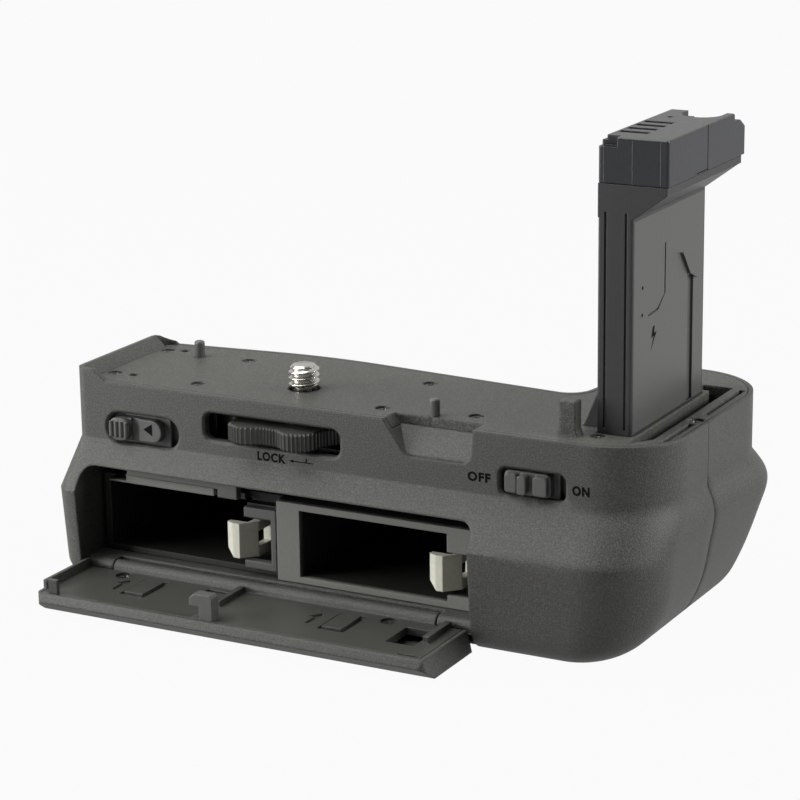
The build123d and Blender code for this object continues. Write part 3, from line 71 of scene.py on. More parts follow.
camera_data = bpy.data.cameras.new("portrait_camera")
camera_data.lens = camera_lens
camera_data.sensor_width = sensor_width
camera_data.clip_start = nearest_seen
camera = bpy.data.objects.new("portrait_camera", camera_data)
bpy.context.scene.collection.objects.link(camera)
turn, dip, roll = (math.radians(angle) for angle in (camera_turn, camera_dip, camera_roll))
aim = Matrix.Rotation(turn, 4, "Z")
aim = aim @ Matrix.Rotation(math.pi / 2 - dip, 4, "X")
aim = aim @ Matrix.Rotation(roll, 4, "Z")
camera.matrix_world = Matrix.Translation(camera_place) @ aim
bpy.context.scene.camera = camera
print("camera at", [round(v, 3) for v in camera_place], "lens", camera_lens)

# %% [markdown]
# ## Shader sums written as plain Python
# A material is a net of small nodes. Wiring sums by hand is slow to read, so a small class wraps
# a socket and turns `a * b + c` into Math nodes. Any other node comes from its one method, `node`:
# its settings are applied first, then its sockets are set or linked by name or number.

# %% The socket class
class Link:
    """One output socket that can be used in a Python sum."""

    def __init__(self, tree, socket=None):
        self.tree, self.socket = tree, socket

    def node(self, kind, settings=None, sockets=None, out=0):
        made = self.tree.nodes.new(kind)
        for key, value in (settings or {}).items():
            if key == "stops":
                set_stops(made.color_ramp, value)
            else:
                setattr(made, key, value)
        for key, value in (sockets or {}).items():
            target = made.inputs[key]
            if isinstance(value, Link):
                self.tree.links.new(value.socket, target)
            elif target.type == "RGBA":
                target.default_value = (*value, 1)
            else:
                target.default_value = value
        return Link(self.tree, made.outputs[out] if made.outputs else None)

    def sum(self, operation, a, b):
        return self.node("ShaderNodeMath", {"operation": operation}, {0: a, 1: b})

    def __add__(self, other):
        return self.sum("ADD", self, other)

    def __radd__(self, other):
        return self.sum("ADD", other, self)

    def __sub__(self, other):
        return self.sum("SUBTRACT", self, other)

    def __rsub__(self, other):
        return self.sum("SUBTRACT", other, self)

    def __mul__(self, other):
        return self.sum("MULTIPLY", self, other)

    def __rmul__(self, other):
        return self.sum("MULTIPLY", other, self)


def set_stops(ramp, stops):
    """Fill a colour ramp from (place, colour) pairs."""
    while len(ramp.elements) < len(stops):
        ramp.elements.new(0.5)
    for element, (place, colour) in zip(ramp.elements, stops):
        element.position = place
        element.color = (*colour, 1)


def blank_net(owner):
    """Empty the node tree of a material or world and return a Link to build on."""
    owner.use_nodes = True
    owner.node_tree.nodes.clear()
    return Link(owner.node_tree)


print("sums ready")

# %% [markdown]
# ## The floor
# The photograph has a pure white surround. A floor that glows white for camera rays gives that
# without spilling light on the object, and a part of its own shading stays in so that the shadow
# shows. Shiny metal sees a share of the white floor too.

# %% Floor
floor_reach = 6.0
floor_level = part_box("front_shell")[0].z
floor_mesh = bpy.data.meshes.new("floor")
corners = [(-floor_reach, -floor_reach, 0), (floor_reach, -floor_reach, 0)]
corners += [(floor_reach, floor_reach, 0), (-floor_reach, floor_reach, 0)]
floor_mesh.from_pydata(corners, [], [(0, 1, 2, 3)])
floor = bpy.data.objects.new("floor", floor_mesh)
floor.location.z = floor_level
bpy.context.scene.collection.objects.link(floor)

white = (1, 1, 1)
full_glow = 1.0
floor_grey = (0.14, 0.14, 0.14)
floor_glow_share = 0.95
floor_mirror_share = 0.65

floor_paint = bpy.data.materials.new("pale_floor")
net = blank_net(floor_paint)
glossy_out = 3
mirrored = net.node("ShaderNodeLightPath", out=glossy_out) * floor_mirror_share
seen = net.sum("MAXIMUM", net.node("ShaderNodeLightPath"), mirrored)
matte = net.node("ShaderNodeBsdfDiffuse", {}, {"Color": floor_grey})
glow = net.node("ShaderNodeEmission", {}, {"Color": white, "Strength": full_glow})
surface = net.node("ShaderNodeMixShader", {}, {0: seen * floor_glow_share, 1: matte, 2: glow})
net.node("ShaderNodeOutputMaterial", {}, {"Surface": surface})
floor_mesh.materials.append(floor_paint)
print("floor at", floor_level)

# %% [markdown]
# ## The white surround
# The world works as the floor does: it is white where the camera sees it. As a light it is a pale
# backdrop behind the grip that fades to a dim room on the camera's side, so that level faces get
# a soft sheen while the upright faces stay dark.

# %% World
room_light = 0.04
backdrop_light = 0.5
backdrop_from, backdrop_to = -0.1, 0.5

world = bpy.data.worlds.new("studio")
net = blank_net(world)
towards_back = net.node("ShaderNodeSeparateXYZ", {}, {0: net.node("ShaderNodeTexCoord")}, out=1)
backdrop = net.node("ShaderNodeMapRange", {}, {0: towards_back, 1: backdrop_from, 2: backdrop_to})
sky_light = backdrop * backdrop_light + room_light
soft_sky = net.node("ShaderNodeBackground", {}, {"Color": white, "Strength": sky_light})
white_sky = net.node("ShaderNodeBackground", {}, {"Color": white, "Strength": full_glow})
camera_ray = net.node("ShaderNodeLightPath")
sky = net.node("ShaderNodeMixShader", {}, {0: camera_ray, 1: soft_sky, 2: white_sky})
net.node("ShaderNodeOutputWorld", {}, {"Surface": sky})
bpy.context.scene.world = world
bpy.context.scene.view_settings.view_transform = "Standard"
print("backdrop light:", backdrop_light, "room light:", room_light)

# %% [markdown]
# ## Lamps
# The top plate is the brightest face, so the main lamp hangs overhead. A weak lamp close by on the
# left lets the upright faces fade from left to right, and another lights the rounded right end.
# The corner that points at the camera lies between the two and stays dark, as in the photograph.
# Each row gives a lamp's name, place, width and power.

# %% Soft lamps
lamp_target = Vector((0.01, 0.01, -0.01))


def soft_lamp(name, place, size, power):
    """A square area lamp that looks at the grip; its power is in watts."""
    lamp_data = bpy.data.lights.new(name, "AREA")
    lamp_data.energy = power
    lamp_data.size = size
    lamp = bpy.data.objects.new(name, lamp_data)
    lamp.location = place
    aim_line = lamp_target - Vector(place)
    lamp.rotation_euler = aim_line.to_track_quat("-Z", "Y").to_euler()
    bpy.context.scene.collection.objects.link(lamp)


lamps = [
    ("top_lamp", (-0.32, -0.12, 0.80), 0.8, 7.2),
    ("left_lamp", (-0.40, -0.29, 0.09), 0.25, 2.10),
    ("right_lamp", (0.75, 0.20, 0.38), 0.4, 4.9),
]
for lamp_row in lamps:
    soft_lamp(*lamp_row)
print("lamps:", len(lamps))

# %% [markdown]
# ## Materials from a few shared recipes
# Every finish uses the place of a point on its own part, so that grain keeps its real size.
# Noise is flat wherever a coordinate is a whole number of lumps, as on the plate at height zero,
# so the place is first moved off that grid by a fraction of a millimetre.
# Moulded edges are never razor sharp: a Bevel node bends the shading round each edge by a
# fraction of a millimetre, which gives the thin bright lines that catch the overhead lamp.

# %% Shared recipes
grid_offset = (0.00013, 0.00037, 0.00011)
bevel_samples = 6


def own_place(net):
    """Where a point lies on its own part, in metres."""
    return net.node("ShaderNodeTexCoord", out=3)


def lumps(net, place, scale, detail=2.0, rough=0.5):
    """Smooth random variation, in lumps per metre."""
    moved = net.node("ShaderNodeVectorMath", {"operation": "ADD"}, {0: place, 1: grid_offset})
    sockets = {"Vector": moved, "Scale": scale, "Detail": detail, "Roughness": rough}
    return net.node("ShaderNodeTexNoise", {}, sockets)


def tint(net, share, first, second):
    """One colour turning into another by a share."""
    sockets = {0: share, 6: first, 7: second}
    return net.node("ShaderNodeMix", {"data_type": "RGBA"}, sockets, out=2)


def relief(net, height, depth, edge):
    """A fine bump, depth in metres, over edges rounded by this radius, a number or a Link."""
    rounded = net.node("ShaderNodeBevel", {"samples": bevel_samples}, {"Radius": edge})
    return net.node("ShaderNodeBump", {}, {"Height": height, "Distance": depth, "Normal": rounded})


def close_net(net, colour, roughness, normal, metallic=0.0):
    """End a material in its shader and output."""
    sockets = {"Base Color": colour, "Roughness": roughness, "Normal": normal, "Metallic": metallic}
    shader = net.node("ShaderNodeBsdfPrincipled", {}, sockets)
    net.node("ShaderNodeOutputMaterial", {}, {"Surface": shader})


print("recipes ready")

# %% [markdown]
# ## Spark-eroded casing plastic
# The casing is dark, slightly warm grey plastic from a mould whose steel was eroded by sparks.
# Under a lamp it glitters: each tiny pit throws light its own way. Two layers do this here, a fine
# bump about a quarter of a millimetre across, and lighter grains in the colour that are partly the
# moulding's own speckle and partly painted glints.
# The swollen lower right corner has much wider edges than the rest, so a mask lets the Bevel's
# radius grow there.

# %% Casing plastic
# The lighter grains in the colour are partly real speckle and partly painted glints.
speck_and_glint_from, speck_and_glint_to = 0.44, 0.66
speck_and_glint_share, cloud_share = 0.85, 0.15
grains_in_a_cloud = 60
grain_detail, grain_rough = 3.0, 0.6
grain_dullness = 0.3
swell_from, swell_to = 50 * mm, 60 * mm
swell_top, swell_full = -10.6 * mm, -12.2 * mm


def ramp_along(net, place, axis, start, end):
    """A share that grows from 0 at start to 1 at end along one axis."""
    along = net.node("ShaderNodeSeparateXYZ", {}, {0: place}, out=axis)
    return net.node("ShaderNodeMapRange", {}, {0: along, 1: start, 2: end})


def soft_corner(net, place):
    """A share that is 1 on the swollen lower right corner, where the mould has soft edges."""
    to_the_right = ramp_along(net, place, 0, swell_from, swell_to)
    downwards = ramp_along(net, place, 2, swell_top, swell_full)
    return to_the_right * downwards


def grain_plastic(name, dark, light, grain, roughness, depth, edge, swollen_edge=0.0):
    """Plastic with grains, partly speckle, partly painted glints; the swollen corner may have wider
    edges.
    """
    paint = bpy.data.materials.new(name)
    net = blank_net(paint)
    place = own_place(net)
    grains = lumps(net, place, grain, grain_detail, grain_rough)
    clouds = lumps(net, place, grain / grains_in_a_cloud)
    stops = [(speck_and_glint_from, (0, 0, 0)), (speck_and_glint_to, white)]
    speck_and_glint = net.node("ShaderNodeValToRGB", {"stops": stops}, {0: grains})
    colour = tint(net, speck_and_glint * speck_and_glint_share + clouds * cloud_share, dark, light)
    rounding = soft_corner(net, place) * swollen_edge + edge if swollen_edge else edge
    dullness = grains * grain_dullness + (roughness - grain_dullness / 2)
    close_net(net, colour, dullness, relief(net, grains, depth, rounding))
    return paint


casing_edge = 0.7 * mm
casing_swollen_edge = 3.2 * mm
casing_plastic = grain_plastic(
    "casing_plastic", dark=(0.050, 0.051, 0.046), light=(0.134, 0.134, 0.121), grain=3400.0,
    roughness=0.50, depth=0.00010, edge=casing_edge, swollen_edge=casing_swollen_edge,
)
plate_plastic = grain_plastic(
    "plate_plastic", dark=(0.048, 0.049, 0.043), light=(0.142, 0.142, 0.128),
    grain=2800.0, roughness=0.52, depth=0.00008, edge=casing_edge,
)
liner_plastic = grain_plastic(
    "liner_plastic", dark=(0.044, 0.045, 0.040), light=(0.104, 0.104, 0.093),
    grain=4200.0, roughness=0.33, depth=0.00005, edge=0.0003,
)
print("grained plastics:", casing_plastic.name, plate_plastic.name, liner_plastic.name)

# %% [markdown]
# ## Smooth plastics and rubber
# The controls and the insert come from polished moulds, so they are smoother than the casing.
# A slow waviness in the roughness keeps their flat faces from looking like plain paint.

# %% Smooth plastics
wave_scale = 900.0
wave_depth = 0.00001
smooth_edge = 0.0003
wave_dullness = 0.12
wave_lift = 1.25


def satin_plastic(name, colour, roughness, grain=wave_scale, depth=wave_depth, edge=smooth_edge):
    """Smooth moulded plastic with a faint unevenness."""
    paint = bpy.data.materials.new(name)
    net = blank_net(paint)
    waves = lumps(net, own_place(net), grain)
    paler = tuple(part * wave_lift for part in colour)
    dullness = waves * wave_dullness + (roughness - wave_dullness / 2)
    close_net(net, tint(net, waves, colour, paler), dullness, relief(net, waves, depth, edge))
    return paint


# The hidden inner parts are near-black, a painted shade for the dark inside of the grip.
inner_plastic = satin_plastic("inner_plastic", (0.016, 0.016, 0.015), 0.5)
control_plastic = satin_plastic("control_plastic", (0.105, 0.107, 0.101), 0.38, edge=0.0005)
stem_plastic = satin_plastic("stem_plastic", (0.032, 0.033, 0.032), 0.42)
print("smooth plastics:", inner_plastic.name, control_plastic.name, stem_plastic.name)

# %% [markdown]
# ## The insert's head
# The head is the darkest and bluest plastic. Its level top gets a paler colour, a painted
# reflection of the bright backdrop. A ramp over the last three tenths of a millimetre of its height
# mixes this painted sheen in on the top only.

# %% Head plastic
head_top = 57.4 * mm
painted_sheen_depth = 0.3 * mm
head_dark, head_light = (0.018, 0.020, 0.023), (0.024, 0.026, 0.030)
# The paler colour is a painted reflection of the bright backdrop on the level top.
head_painted_sheen = (0.060, 0.061, 0.058)
head_roughness = 0.26

head_plastic = bpy.data.materials.new("head_plastic")
net = blank_net(head_plastic)
waves = lumps(net, own_place(net), wave_scale)
painted_sheen_share = ramp_along(net, own_place(net), 2, head_top - painted_sheen_depth, head_top)
head_colour = tint(net, painted_sheen_share, tint(net, waves, head_dark, head_light), head_painted_sheen)
head_dullness = waves * wave_dullness + head_roughness
close_net(net, head_colour, head_dullness, relief(net, waves, wave_depth, smooth_edge))
print("head painted sheen from", round(head_top - painted_sheen_depth, 5))

# %% [markdown]
# ## Panel, wheel, latches, button and board
# The rest of the smooth pieces follow the same recipe. The wheel's rubber has a finer waviness and
# almost sharp edges, because its knurl is modelled.

# %% More smooth finishes
panel_plastic = satin_plastic("panel_plastic", (0.092, 0.093, 0.088), 0.40)
wheel_rubber = satin_plastic("wheel_rubber", (0.050, 0.050, 0.046), 0.36, 1500.0, 0.00002, 0.0001)
ivory_nylon = satin_plastic("ivory_nylon", (0.76, 0.755, 0.64), 0.40)
button_gloss = satin_plastic("button_gloss", (0.02, 0.02, 0.02), 0.2)
board_green = satin_plastic("board_green", (0.02, 0.09, 0.04), 0.3)
print("wheel:", wheel_rubber.name, "latches:", ivory_nylon.name)

# %% [markdown]
# ## The battery tray
# The tray's rear frame is paler than the casing, but its bays are deep, unlit boxes. Their black is
# painted shade: the same moulding turns from the frame's grey to a painted black within little more
# than a millimetre, just behind its rear face.

# %% Tray plastic
painted_shade_start = -11.7 * mm
painted_shade_length = 1.3 * mm
frame_dark, frame_light = (0.15, 0.15, 0.138), (0.28, 0.28, 0.258)
# The black of the bays is painted shade, standing for the dark that fills the deep, unlit bays.
bay_painted_shade = (0.016, 0.016, 0.013)
tray_grain = 3600.0
tray_dullness, tray_roughness = 0.2, 0.45
tray_depth = 0.00004

tray_plastic = bpy.data.materials.new("tray_plastic")
net = blank_net(tray_plastic)
place = own_place(net)
grains = lumps(net, place, tray_grain, grain_detail, grain_rough)
# The painted shade takes over the colour just behind the frame's rear face.
painted_shade_share = ramp_along(net, place, 1, painted_shade_start, painted_shade_start + painted_shade_length)
tray_colour = tint(net, painted_shade_share, tint(net, grains, frame_dark, frame_light), bay_painted_shade)
dullness = grains * tray_dullness + tray_roughness
close_net(net, tray_colour, dullness, relief(net, grains, tray_depth, smooth_edge))
print("painted bay shade over", painted_shade_length, "m")

# %% [markdown]
# ## Metals
# The clamp screw is nickel plated, springs are bare steel, contacts are gilded and the small
# screws are dark steel. Handling marks vary the roughness of each.

# %% Metals
marks_scale, marks_detail, marks_rough = 1500.0, 4.0, 0.7
marks_depth = 0.000008
metal_edge = 0.00008
marks_shade = 0.85
marks_dullness, marks_polish = 0.25, 0.1


def plain_metal(name, colour, roughness):
    """Metal with fine handling marks."""
    paint = bpy.data.materials.new(name)
    net = blank_net(paint)
    marks = lumps(net, own_place(net), marks_scale, marks_detail, marks_rough)
    worn = tuple(part * marks_shade for part in colour)
    dullness = marks * marks_dullness + (roughness - marks_polish)
    normal = relief(net, marks, marks_depth, metal_edge)
    close_net(net, tint(net, marks, colour, worn), dullness, normal, metallic=1.0)
    return paint


nickel = plain_metal("nickel", (0.82, 0.80, 0.74), 0.22)
spring_steel = plain_metal("spring_steel", (0.5, 0.5, 0.5), 0.35)
gilding = plain_metal("gilding", (0.9, 0.68, 0.3), 0.3)
black_steel = plain_metal("black_steel", (0.05, 0.05, 0.05), 0.35)
screw_steel = plain_metal("screw_steel", (0.26, 0.26, 0.25), 0.36)
print("metals:", nickel.name, spring_steel.name, gilding.name, black_steel.name, screw_steel.name)

# %% [markdown]
# ## Who wears what
# Each solid part gets one finish. A row reads: finish, then the parts that wear it. The screws and
# the wheel are dressed too, although finer pieces stand in for them further down.

# %% Give each part its finish
controls = ("release_slide", "power_switch", "door_hook", "latch_bracket", "locating_pins")
springs_and_pins = ("eject_springs", "latch_pins", "door_hinge_pin")
hidden_steel = ("board_screws", "tripod_bush", "screw_clip")
finishes = [
    (casing_plastic, ("rear_shell", "front_shell", "door_cover")),
    (plate_plastic, ("top_plate",)),
    (liner_plastic, ("door_liner",)),
    (control_plastic, controls),
    (inner_plastic, ("screw_bridge", "pocket_liner", "shutter_cup")),
    (tray_plastic, ("battery_tray",)),
    (stem_plastic, ("insert_stem",)),
    (head_plastic, ("contact_head",)),
    (panel_plastic, ("insert_cover",)),
    (wheel_rubber, ("clamp_wheel",)),
    (ivory_nylon, ("latch_left", "latch_right")),
    (button_gloss, ("shutter_button",)),
    (board_green, ("circuit_board",)),
    (nickel, ("camera_screw",)),
    (spring_steel, springs_and_pins + hidden_steel),
    (gilding, ("cell_contacts", "head_contacts")),
    (black_steel, ("plate_screws", "door_screws", "base_screws")),
]
dressed = set()
for paint, names in finishes:
    for name in names:
        nodes[name].data.materials.clear()
        nodes[name].data.materials.append(paint)
        dressed.add(name)
print("still undressed:", sorted(set(nodes) - dressed))

# %% [markdown]
# ## Turned pieces
# A screw is a shape turned about its axis. `turned` takes rings of (radius, height) and stitches
# them into a closed skin. A radius may also be a function of the angle, which is how a thread
# winds upwards.

# %% Turning helper
def turned(rings, sides, bored=False):
    """A closed bmesh from rings of (radius, height); the end rings get a face, or meet if bored."""
    shape = bmesh.new()
    rows = []
    for radius, height in rings:
        row = []
        for step in range(sides):
            angle = math.tau * step / sides
            reach = radius(angle) if callable(radius) else radius
            row.append(shape.verts.new((reach * math.cos(angle), reach * math.sin(angle), height)))
        rows.append(row)
    pairs = list(zip(rows, rows[1:])) + ([(rows[-1], rows[0])] if bored else [])
    for low, high in pairs:
        for step in range(sides):
            after = (step + 1) % sides
            shape.faces.new((low[step], low[after], high[after], high[step]))
    if not bored:
        shape.faces.new(list(reversed(rows[0])))
        shape.faces.new(rows[-1])
    return shape


def new_piece(name, shape, paint, body, crease=35.0):
    """Turn a bmesh into an object that rides on a body; edges over the crease angle stay sharp."""
    bmesh.ops.recalc_face_normals(shape, faces=shape.faces)
    mesh = bpy.data.meshes.new(name)
    shape.to_mesh(mesh)
    shape.free()
    mesh.shade_smooth()
    mesh.set_sharp_from_angle(angle=math.radians(crease))
    mesh.materials.append(paint)
    piece = bpy.data.objects.new(name, mesh)
    bpy.context.scene.collection.objects.link(piece)
    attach(piece, body)
    return piece


print("ready to turn screws")

# %% [markdown]
# ## The clamp screw's thread
# A quarter-inch camera screw has twenty threads to the inch, so a crest every 1.27 mm. The radius
# falls from crest to root by the distance from the winding line, and a chamfer cuts the top.
# The sizes are in millimetres.

# %% Thread the clamp screw
pitch = 1.27
crest_radius = 3.175
root_depth = 0.72
crest_flat = 0.16
thread_start = 0.75
thread_top = 5.1
chamfer_height = 0.9
winding_start = 0.21
ring_step = 0.08
neck_radius = 2.1
neck_top = thread_start - 0.1
shank_radius = 2.0
shank_foot = -12.7
collar_radius = 4.4
collar_low, collar_high = -4.9, -2.5
thread_sides = 64


def thread_radius(height):
    """The thread's radius at this height, as a function of the angle."""
    def radius(angle):
        phase = (height / pitch - angle / math.tau - winding_start + 0.5) % 1.0
        from_crest = min(abs(2 * phase - 1) / (1 - crest_flat), 1.0)
        cut = root_depth * max(from_crest - crest_flat, 0) / (1 - crest_flat)
        below_top = max(height - (thread_top - chamfer_height), 0)
        return min(crest_radius - cut, crest_radius - below_top) * mm
    return radius


plain_rings = [(shank_radius, shank_foot), (shank_radius, collar_low), (collar_radius, collar_low)]
plain_rings += [(collar_radius, collar_high), (neck_radius, collar_high), (neck_radius, neck_top)]
screw_rings = [(radius * mm, height * mm) for radius, height in plain_rings]
height = thread_start
while height < thread_top:
    screw_rings.append((thread_radius(height), height * mm))
    height += ring_step
screw_rings.append((thread_radius(thread_top), thread_top * mm))
threaded = turned(screw_rings, thread_sides)
clamp_screw = new_piece("clamp_screw_threaded", threaded, nickel, "clamp", crease=60.0)
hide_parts("camera_screw")
print("thread rings:", len(screw_rings))

# %% [markdown]
# ## The knurled thumb wheel
# Seven lobes give the thumb something to push. Round them run fine ridges with sharp crests and
# rounded valleys: the absolute value of a sine does both. The wheel keeps the solid wheel's size.

# %% Knurl the wheel
wheel_radius = 16.0
wheel_bore = 2.03
wheel_low, wheel_high = -8.6, -4.9
wheel_lobes = 7
lobe_rise = 1.4
ridges = 126
points_per_ridge = 6
ridge_rise = 0.16
crest_turn = math.radians(-116.5)
rim_chamfer = 0.35


def wheel_reach(shrink):
    """The rim's radius as a function of the angle, less an amount."""
    def reach(angle):
        lobe = lobe_rise * math.sin(math.cos(wheel_lobes * (angle - crest_turn)) * math.pi / 2)
        ridge = ridge_rise * (1 - 2 * abs(math.sin(ridges * angle / 2)))
        return (wheel_radius + lobe + ridge - shrink) * mm
    return reach


rim_rings = [
    (wheel_bore * mm, wheel_low * mm),
    (wheel_reach(rim_chamfer), wheel_low * mm),
    (wheel_reach(0), wheel_low * mm + rim_chamfer * mm),
    (wheel_reach(0), wheel_high * mm - rim_chamfer * mm),
    (wheel_reach(rim_chamfer), wheel_high * mm),
    (wheel_bore * mm, wheel_high * mm),
]
rim = turned(rim_rings, ridges * points_per_ridge, bored=True)
knurled = new_piece("clamp_wheel_knurled", rim, wheel_rubber, "clamp", crease=20.0)
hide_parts("clamp_wheel")
print("ridges:", ridges)

# %% [markdown]
# ## Cross-recess screw heads
# One head is turned, a tapered cross is cut out of it with a Boolean, and copies go to every place
# that the solid screws held. Cutting once and copying keeps the scene quick. The cross's sizes are
# shares of the head's radius and height.

# %% Cut one screw
edge_share = 0.12
cross_reach, cross_foot = 0.66, 0.3
cross_depth = 0.75
tip_share = 0.5
head_sides = 32
box_faces = ((3, 2, 1, 0), (4, 5, 6, 7), (0, 1, 5, 4), (1, 2, 6, 5), (2, 3, 7, 6), (3, 0, 4, 7))


def loose_object(name, shape):
    """Link a bmesh to the scene as a helper object."""
    mesh = bpy.data.meshes.new(name)
    shape.to_mesh(mesh)
    shape.free()
    helper = bpy.data.objects.new(name, mesh)
    bpy.context.scene.collection.objects.link(helper)
    return helper


def cross_head(head_radius, head_height, shank_radius, length, cross_width):
    """The mesh of one screw, head up, its head's top at height zero."""
    edge = head_radius * edge_share
    tip = shank_radius * tip_share
    rings = [(tip, -length), (shank_radius, -length + tip), (shank_radius, -head_height)]
    rings += [(head_radius, -head_height), (head_radius, -edge), (head_radius - edge, 0)]
    cutter = bmesh.new()
    wide, narrow = head_radius * cross_reach, head_radius * cross_foot
    deep, half = head_height * cross_depth, cross_width / 2
    outline = [(-wide, -half, edge), (wide, -half, edge), (wide, half, edge), (-wide, half, edge)]
    outline += [(-narrow, -half, -deep), (narrow, -half, -deep)]
    outline += [(narrow, half, -deep), (-narrow, half, -deep)]
    for quarter in (0, math.pi / 2):
        turn = Matrix.Rotation(quarter, 3, "Z")
        bar = [cutter.verts.new(turn @ Vector(corner)) for corner in outline]
        for face in box_faces:
            cutter.faces.new([bar[index] for index in face])
    bmesh.ops.recalc_face_normals(cutter, faces=cutter.faces)
    body = loose_object("screw_body", turned(rings, head_sides))
    tool = loose_object("screw_cutter", cutter)
    cut = body.modifiers.new("cross", "BOOLEAN")
    cut.operation, cut.solver, cut.object, cut.use_self = "DIFFERENCE", "EXACT", tool, True
    evaluated = body.evaluated_get(bpy.context.evaluated_depsgraph_get())
    done = bpy.data.meshes.new_from_object(evaluated)
    for part in (body, tool):
        bpy.data.objects.remove(part)
    return done


plate_screw = cross_head(1.5 * mm, 0.9 * mm, 0.8 * mm, 5.0 * mm, 0.45 * mm)
short_screw = cross_head(1.5 * mm, 0.9 * mm, 0.8 * mm, 1.5 * mm, 0.45 * mm)
door_screw = cross_head(1.8 * mm, 0.8 * mm, 0.7 * mm, 2.6 * mm, 0.55 * mm)
base_screw = cross_head(2.0 * mm, 1.4 * mm, 1.1 * mm, 4.8 * mm, 0.6 * mm)
print("faces of a plate screw:", len(plate_screw.polygons))

# %% [markdown]
# ## Every screw in its place
# The spots are the tops of the heads, in millimetres. A driven screw stops at any angle, so each
# copy is twisted a little further than the last. The two beside the insert are shorter, and those
# of the base are driven from below, so they are turned over.

# %% Place the screws
twist_step = 0.7


def screw_set(name, node, body, screws, turn_over=False):
    """A screw's copy at every spot, standing in for a solid node."""
    shape = bmesh.new()
    flip = Matrix.Rotation(math.pi, 4, "X") if turn_over else Matrix.Identity(4)
    for number, (spot, screw) in enumerate(screws):
        before = len(shape.verts)
        shape.from_mesh(screw)
        shape.verts.ensure_lookup_table()
        twist = Matrix.Rotation(twist_step * number, 4, "Z")
        place = Matrix.Translation(Vector(spot) * mm) @ flip @ twist
        for corner in shape.verts[before:]:
            corner.co = place @ corner.co
    piece = new_piece(name, shape, screw_steel, body)
    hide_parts(node)
    print(name, "copies:", len(screws))


def level_set(screw, height, spots):
    """Pairs of spot and screw for heads that lie at one height."""
    return [((x, y, height), screw) for x, y in spots]


plate_spots = [(-42.1, -6.2), (-21.6, -6.2), (21.6, -6.2), (41.0, -3.5)]
plate_spots += [(-42.1, 14.2), (-21.6, 14.2), (21.6, 14.2)]
base_spots = [(-40.0, -2.0), (40.0, -2.0), (62.0, -4.0), (-40.0, 33.0), (40.0, 33.0), (60.0, 33.0)]
plate_set = level_set(plate_screw, -0.35, plate_spots)
plate_set += level_set(short_screw, -0.35, [(68.1, -6.0), (80.9, 12.0)])
door_set = level_set(door_screw, -39.8, [(-33.0, -19.05), (29.4, -19.05)])
base_set = level_set(base_screw, -43.4, base_spots)
screw_set("plate_screws_crossed", "plate_screws", "housing", plate_set)
screw_set("door_screws_crossed", "door_screws", "door", door_set)
screw_set("base_screws_crossed", "base_screws", "housing", base_set, turn_over=True)

# %% [markdown]
# ## Words on the mouldings
# The words ON, OFF and LOCK are sunk into the mould and filled with shadow. Here each is a thin
# plate in a matte near-black, a painted shadow. Each one starts as text, becomes a mesh, and is
# laid on the casing by casting a ray at it from the rear for every corner. The text's offset
# thickens its strokes. The words' limits are in millimetres.

# %% Lay words on the casing
letter_weight = 0.042
letter_spacing = 1.16
ray_start = -0.05
mark_lift = 0.00004
word_thickness = 0.0002

# A matte near-black: painted shadow for the sunken words and marks, and the dark seams of the head.
mark_paint = bpy.data.materials.new("mark_paint")
net = blank_net(mark_paint)
painted_shadow_grain = lumps(net, own_place(net), 2000.0)
painted_shadow_tone = tint(net, painted_shadow_grain, (0.004, 0.004, 0.004), (0.009, 0.009, 0.009))
matte_sockets = {"Base Color": painted_shadow_tone, "Roughness": 0.9, "Specular IOR Level": 0.1}
matte = net.node("ShaderNodeBsdfPrincipled", {}, matte_sockets)
net.node("ShaderNodeOutputMaterial", {}, {"Surface": matte})
shell_mesh = nodes["rear_shell"].data
shell_skin = BVHTree.FromPolygons(
    [corner.co for corner in shell_mesh.vertices],
    [list(face.vertices) for face in shell_mesh.polygons],
)
print("faces to aim at:", len(shell_mesh.polygons))


def raise_faces(shape, step):
    """Give flat faces a thickness along a step."""
    made = bmesh.ops.extrude_face_region(shape, geom=list(shape.faces))
    moved = [item for item in made["geom"] if isinstance(item, bmesh.types.BMVert)]
    bmesh.ops.translate(shape, verts=moved, vec=step)


def word_on_casing(name, words, x_limits, z_limits):
    """A word fitted between limits on the rear of the casing."""
    text = bpy.data.curves.new(name, "FONT")
    text.body = words
    text.resolution_u = 4
    text.offset = letter_weight
    text.space_character = letter_spacing
    flat = bpy.data.meshes.new_from_object(bpy.data.objects.new(name, text))
    shape = bmesh.new()
    shape.from_mesh(flat)
    lows = [min(corner.co[axis] for corner in shape.verts) for axis in (0, 1)]
    highs = [max(corner.co[axis] for corner in shape.verts) for axis in (0, 1)]
    for corner in shape.verts:
        across = (corner.co.x - lows[0]) / (highs[0] - lows[0])
        along = (corner.co.y - lows[1]) / (highs[1] - lows[1])
        x = (x_limits[0] + across * (x_limits[1] - x_limits[0])) * mm
        z = (z_limits[0] + along * (z_limits[1] - z_limits[0])) * mm
        hit = shell_skin.ray_cast(Vector((x, ray_start, z)), Vector((0, 1, 0)))[0]
        corner.co = (x, hit.y - mark_lift, z)
    raise_faces(shape, Vector((0, word_thickness, 0)))
    new_piece(name, shape, mark_paint, "housing")
    print(name, "laid")


word_on_casing("word_lock", "LOCK", (-3.7, 2.9), (-12.25, -10.3))
word_on_casing("word_off", "OFF", (43.75, 48.7), (-10.15, -8.2))
word_on_casing("word_on", "ON", (66.0, 69.6), (-10.15, -8.2))

# %% [markdown]
# ## Small pointers
# Plain flat outlines do for the rest: the arrow beside LOCK, the triangle on the release slide,
# and on the insert's panel a small lightning mark with its two dots. They wear the words'
# near-black, which on the sunken arrow and lightning mark is painted shadow. An outline is a list
# of pairs in millimetres, and one of two helpers stands it upright, facing the rear or a side.

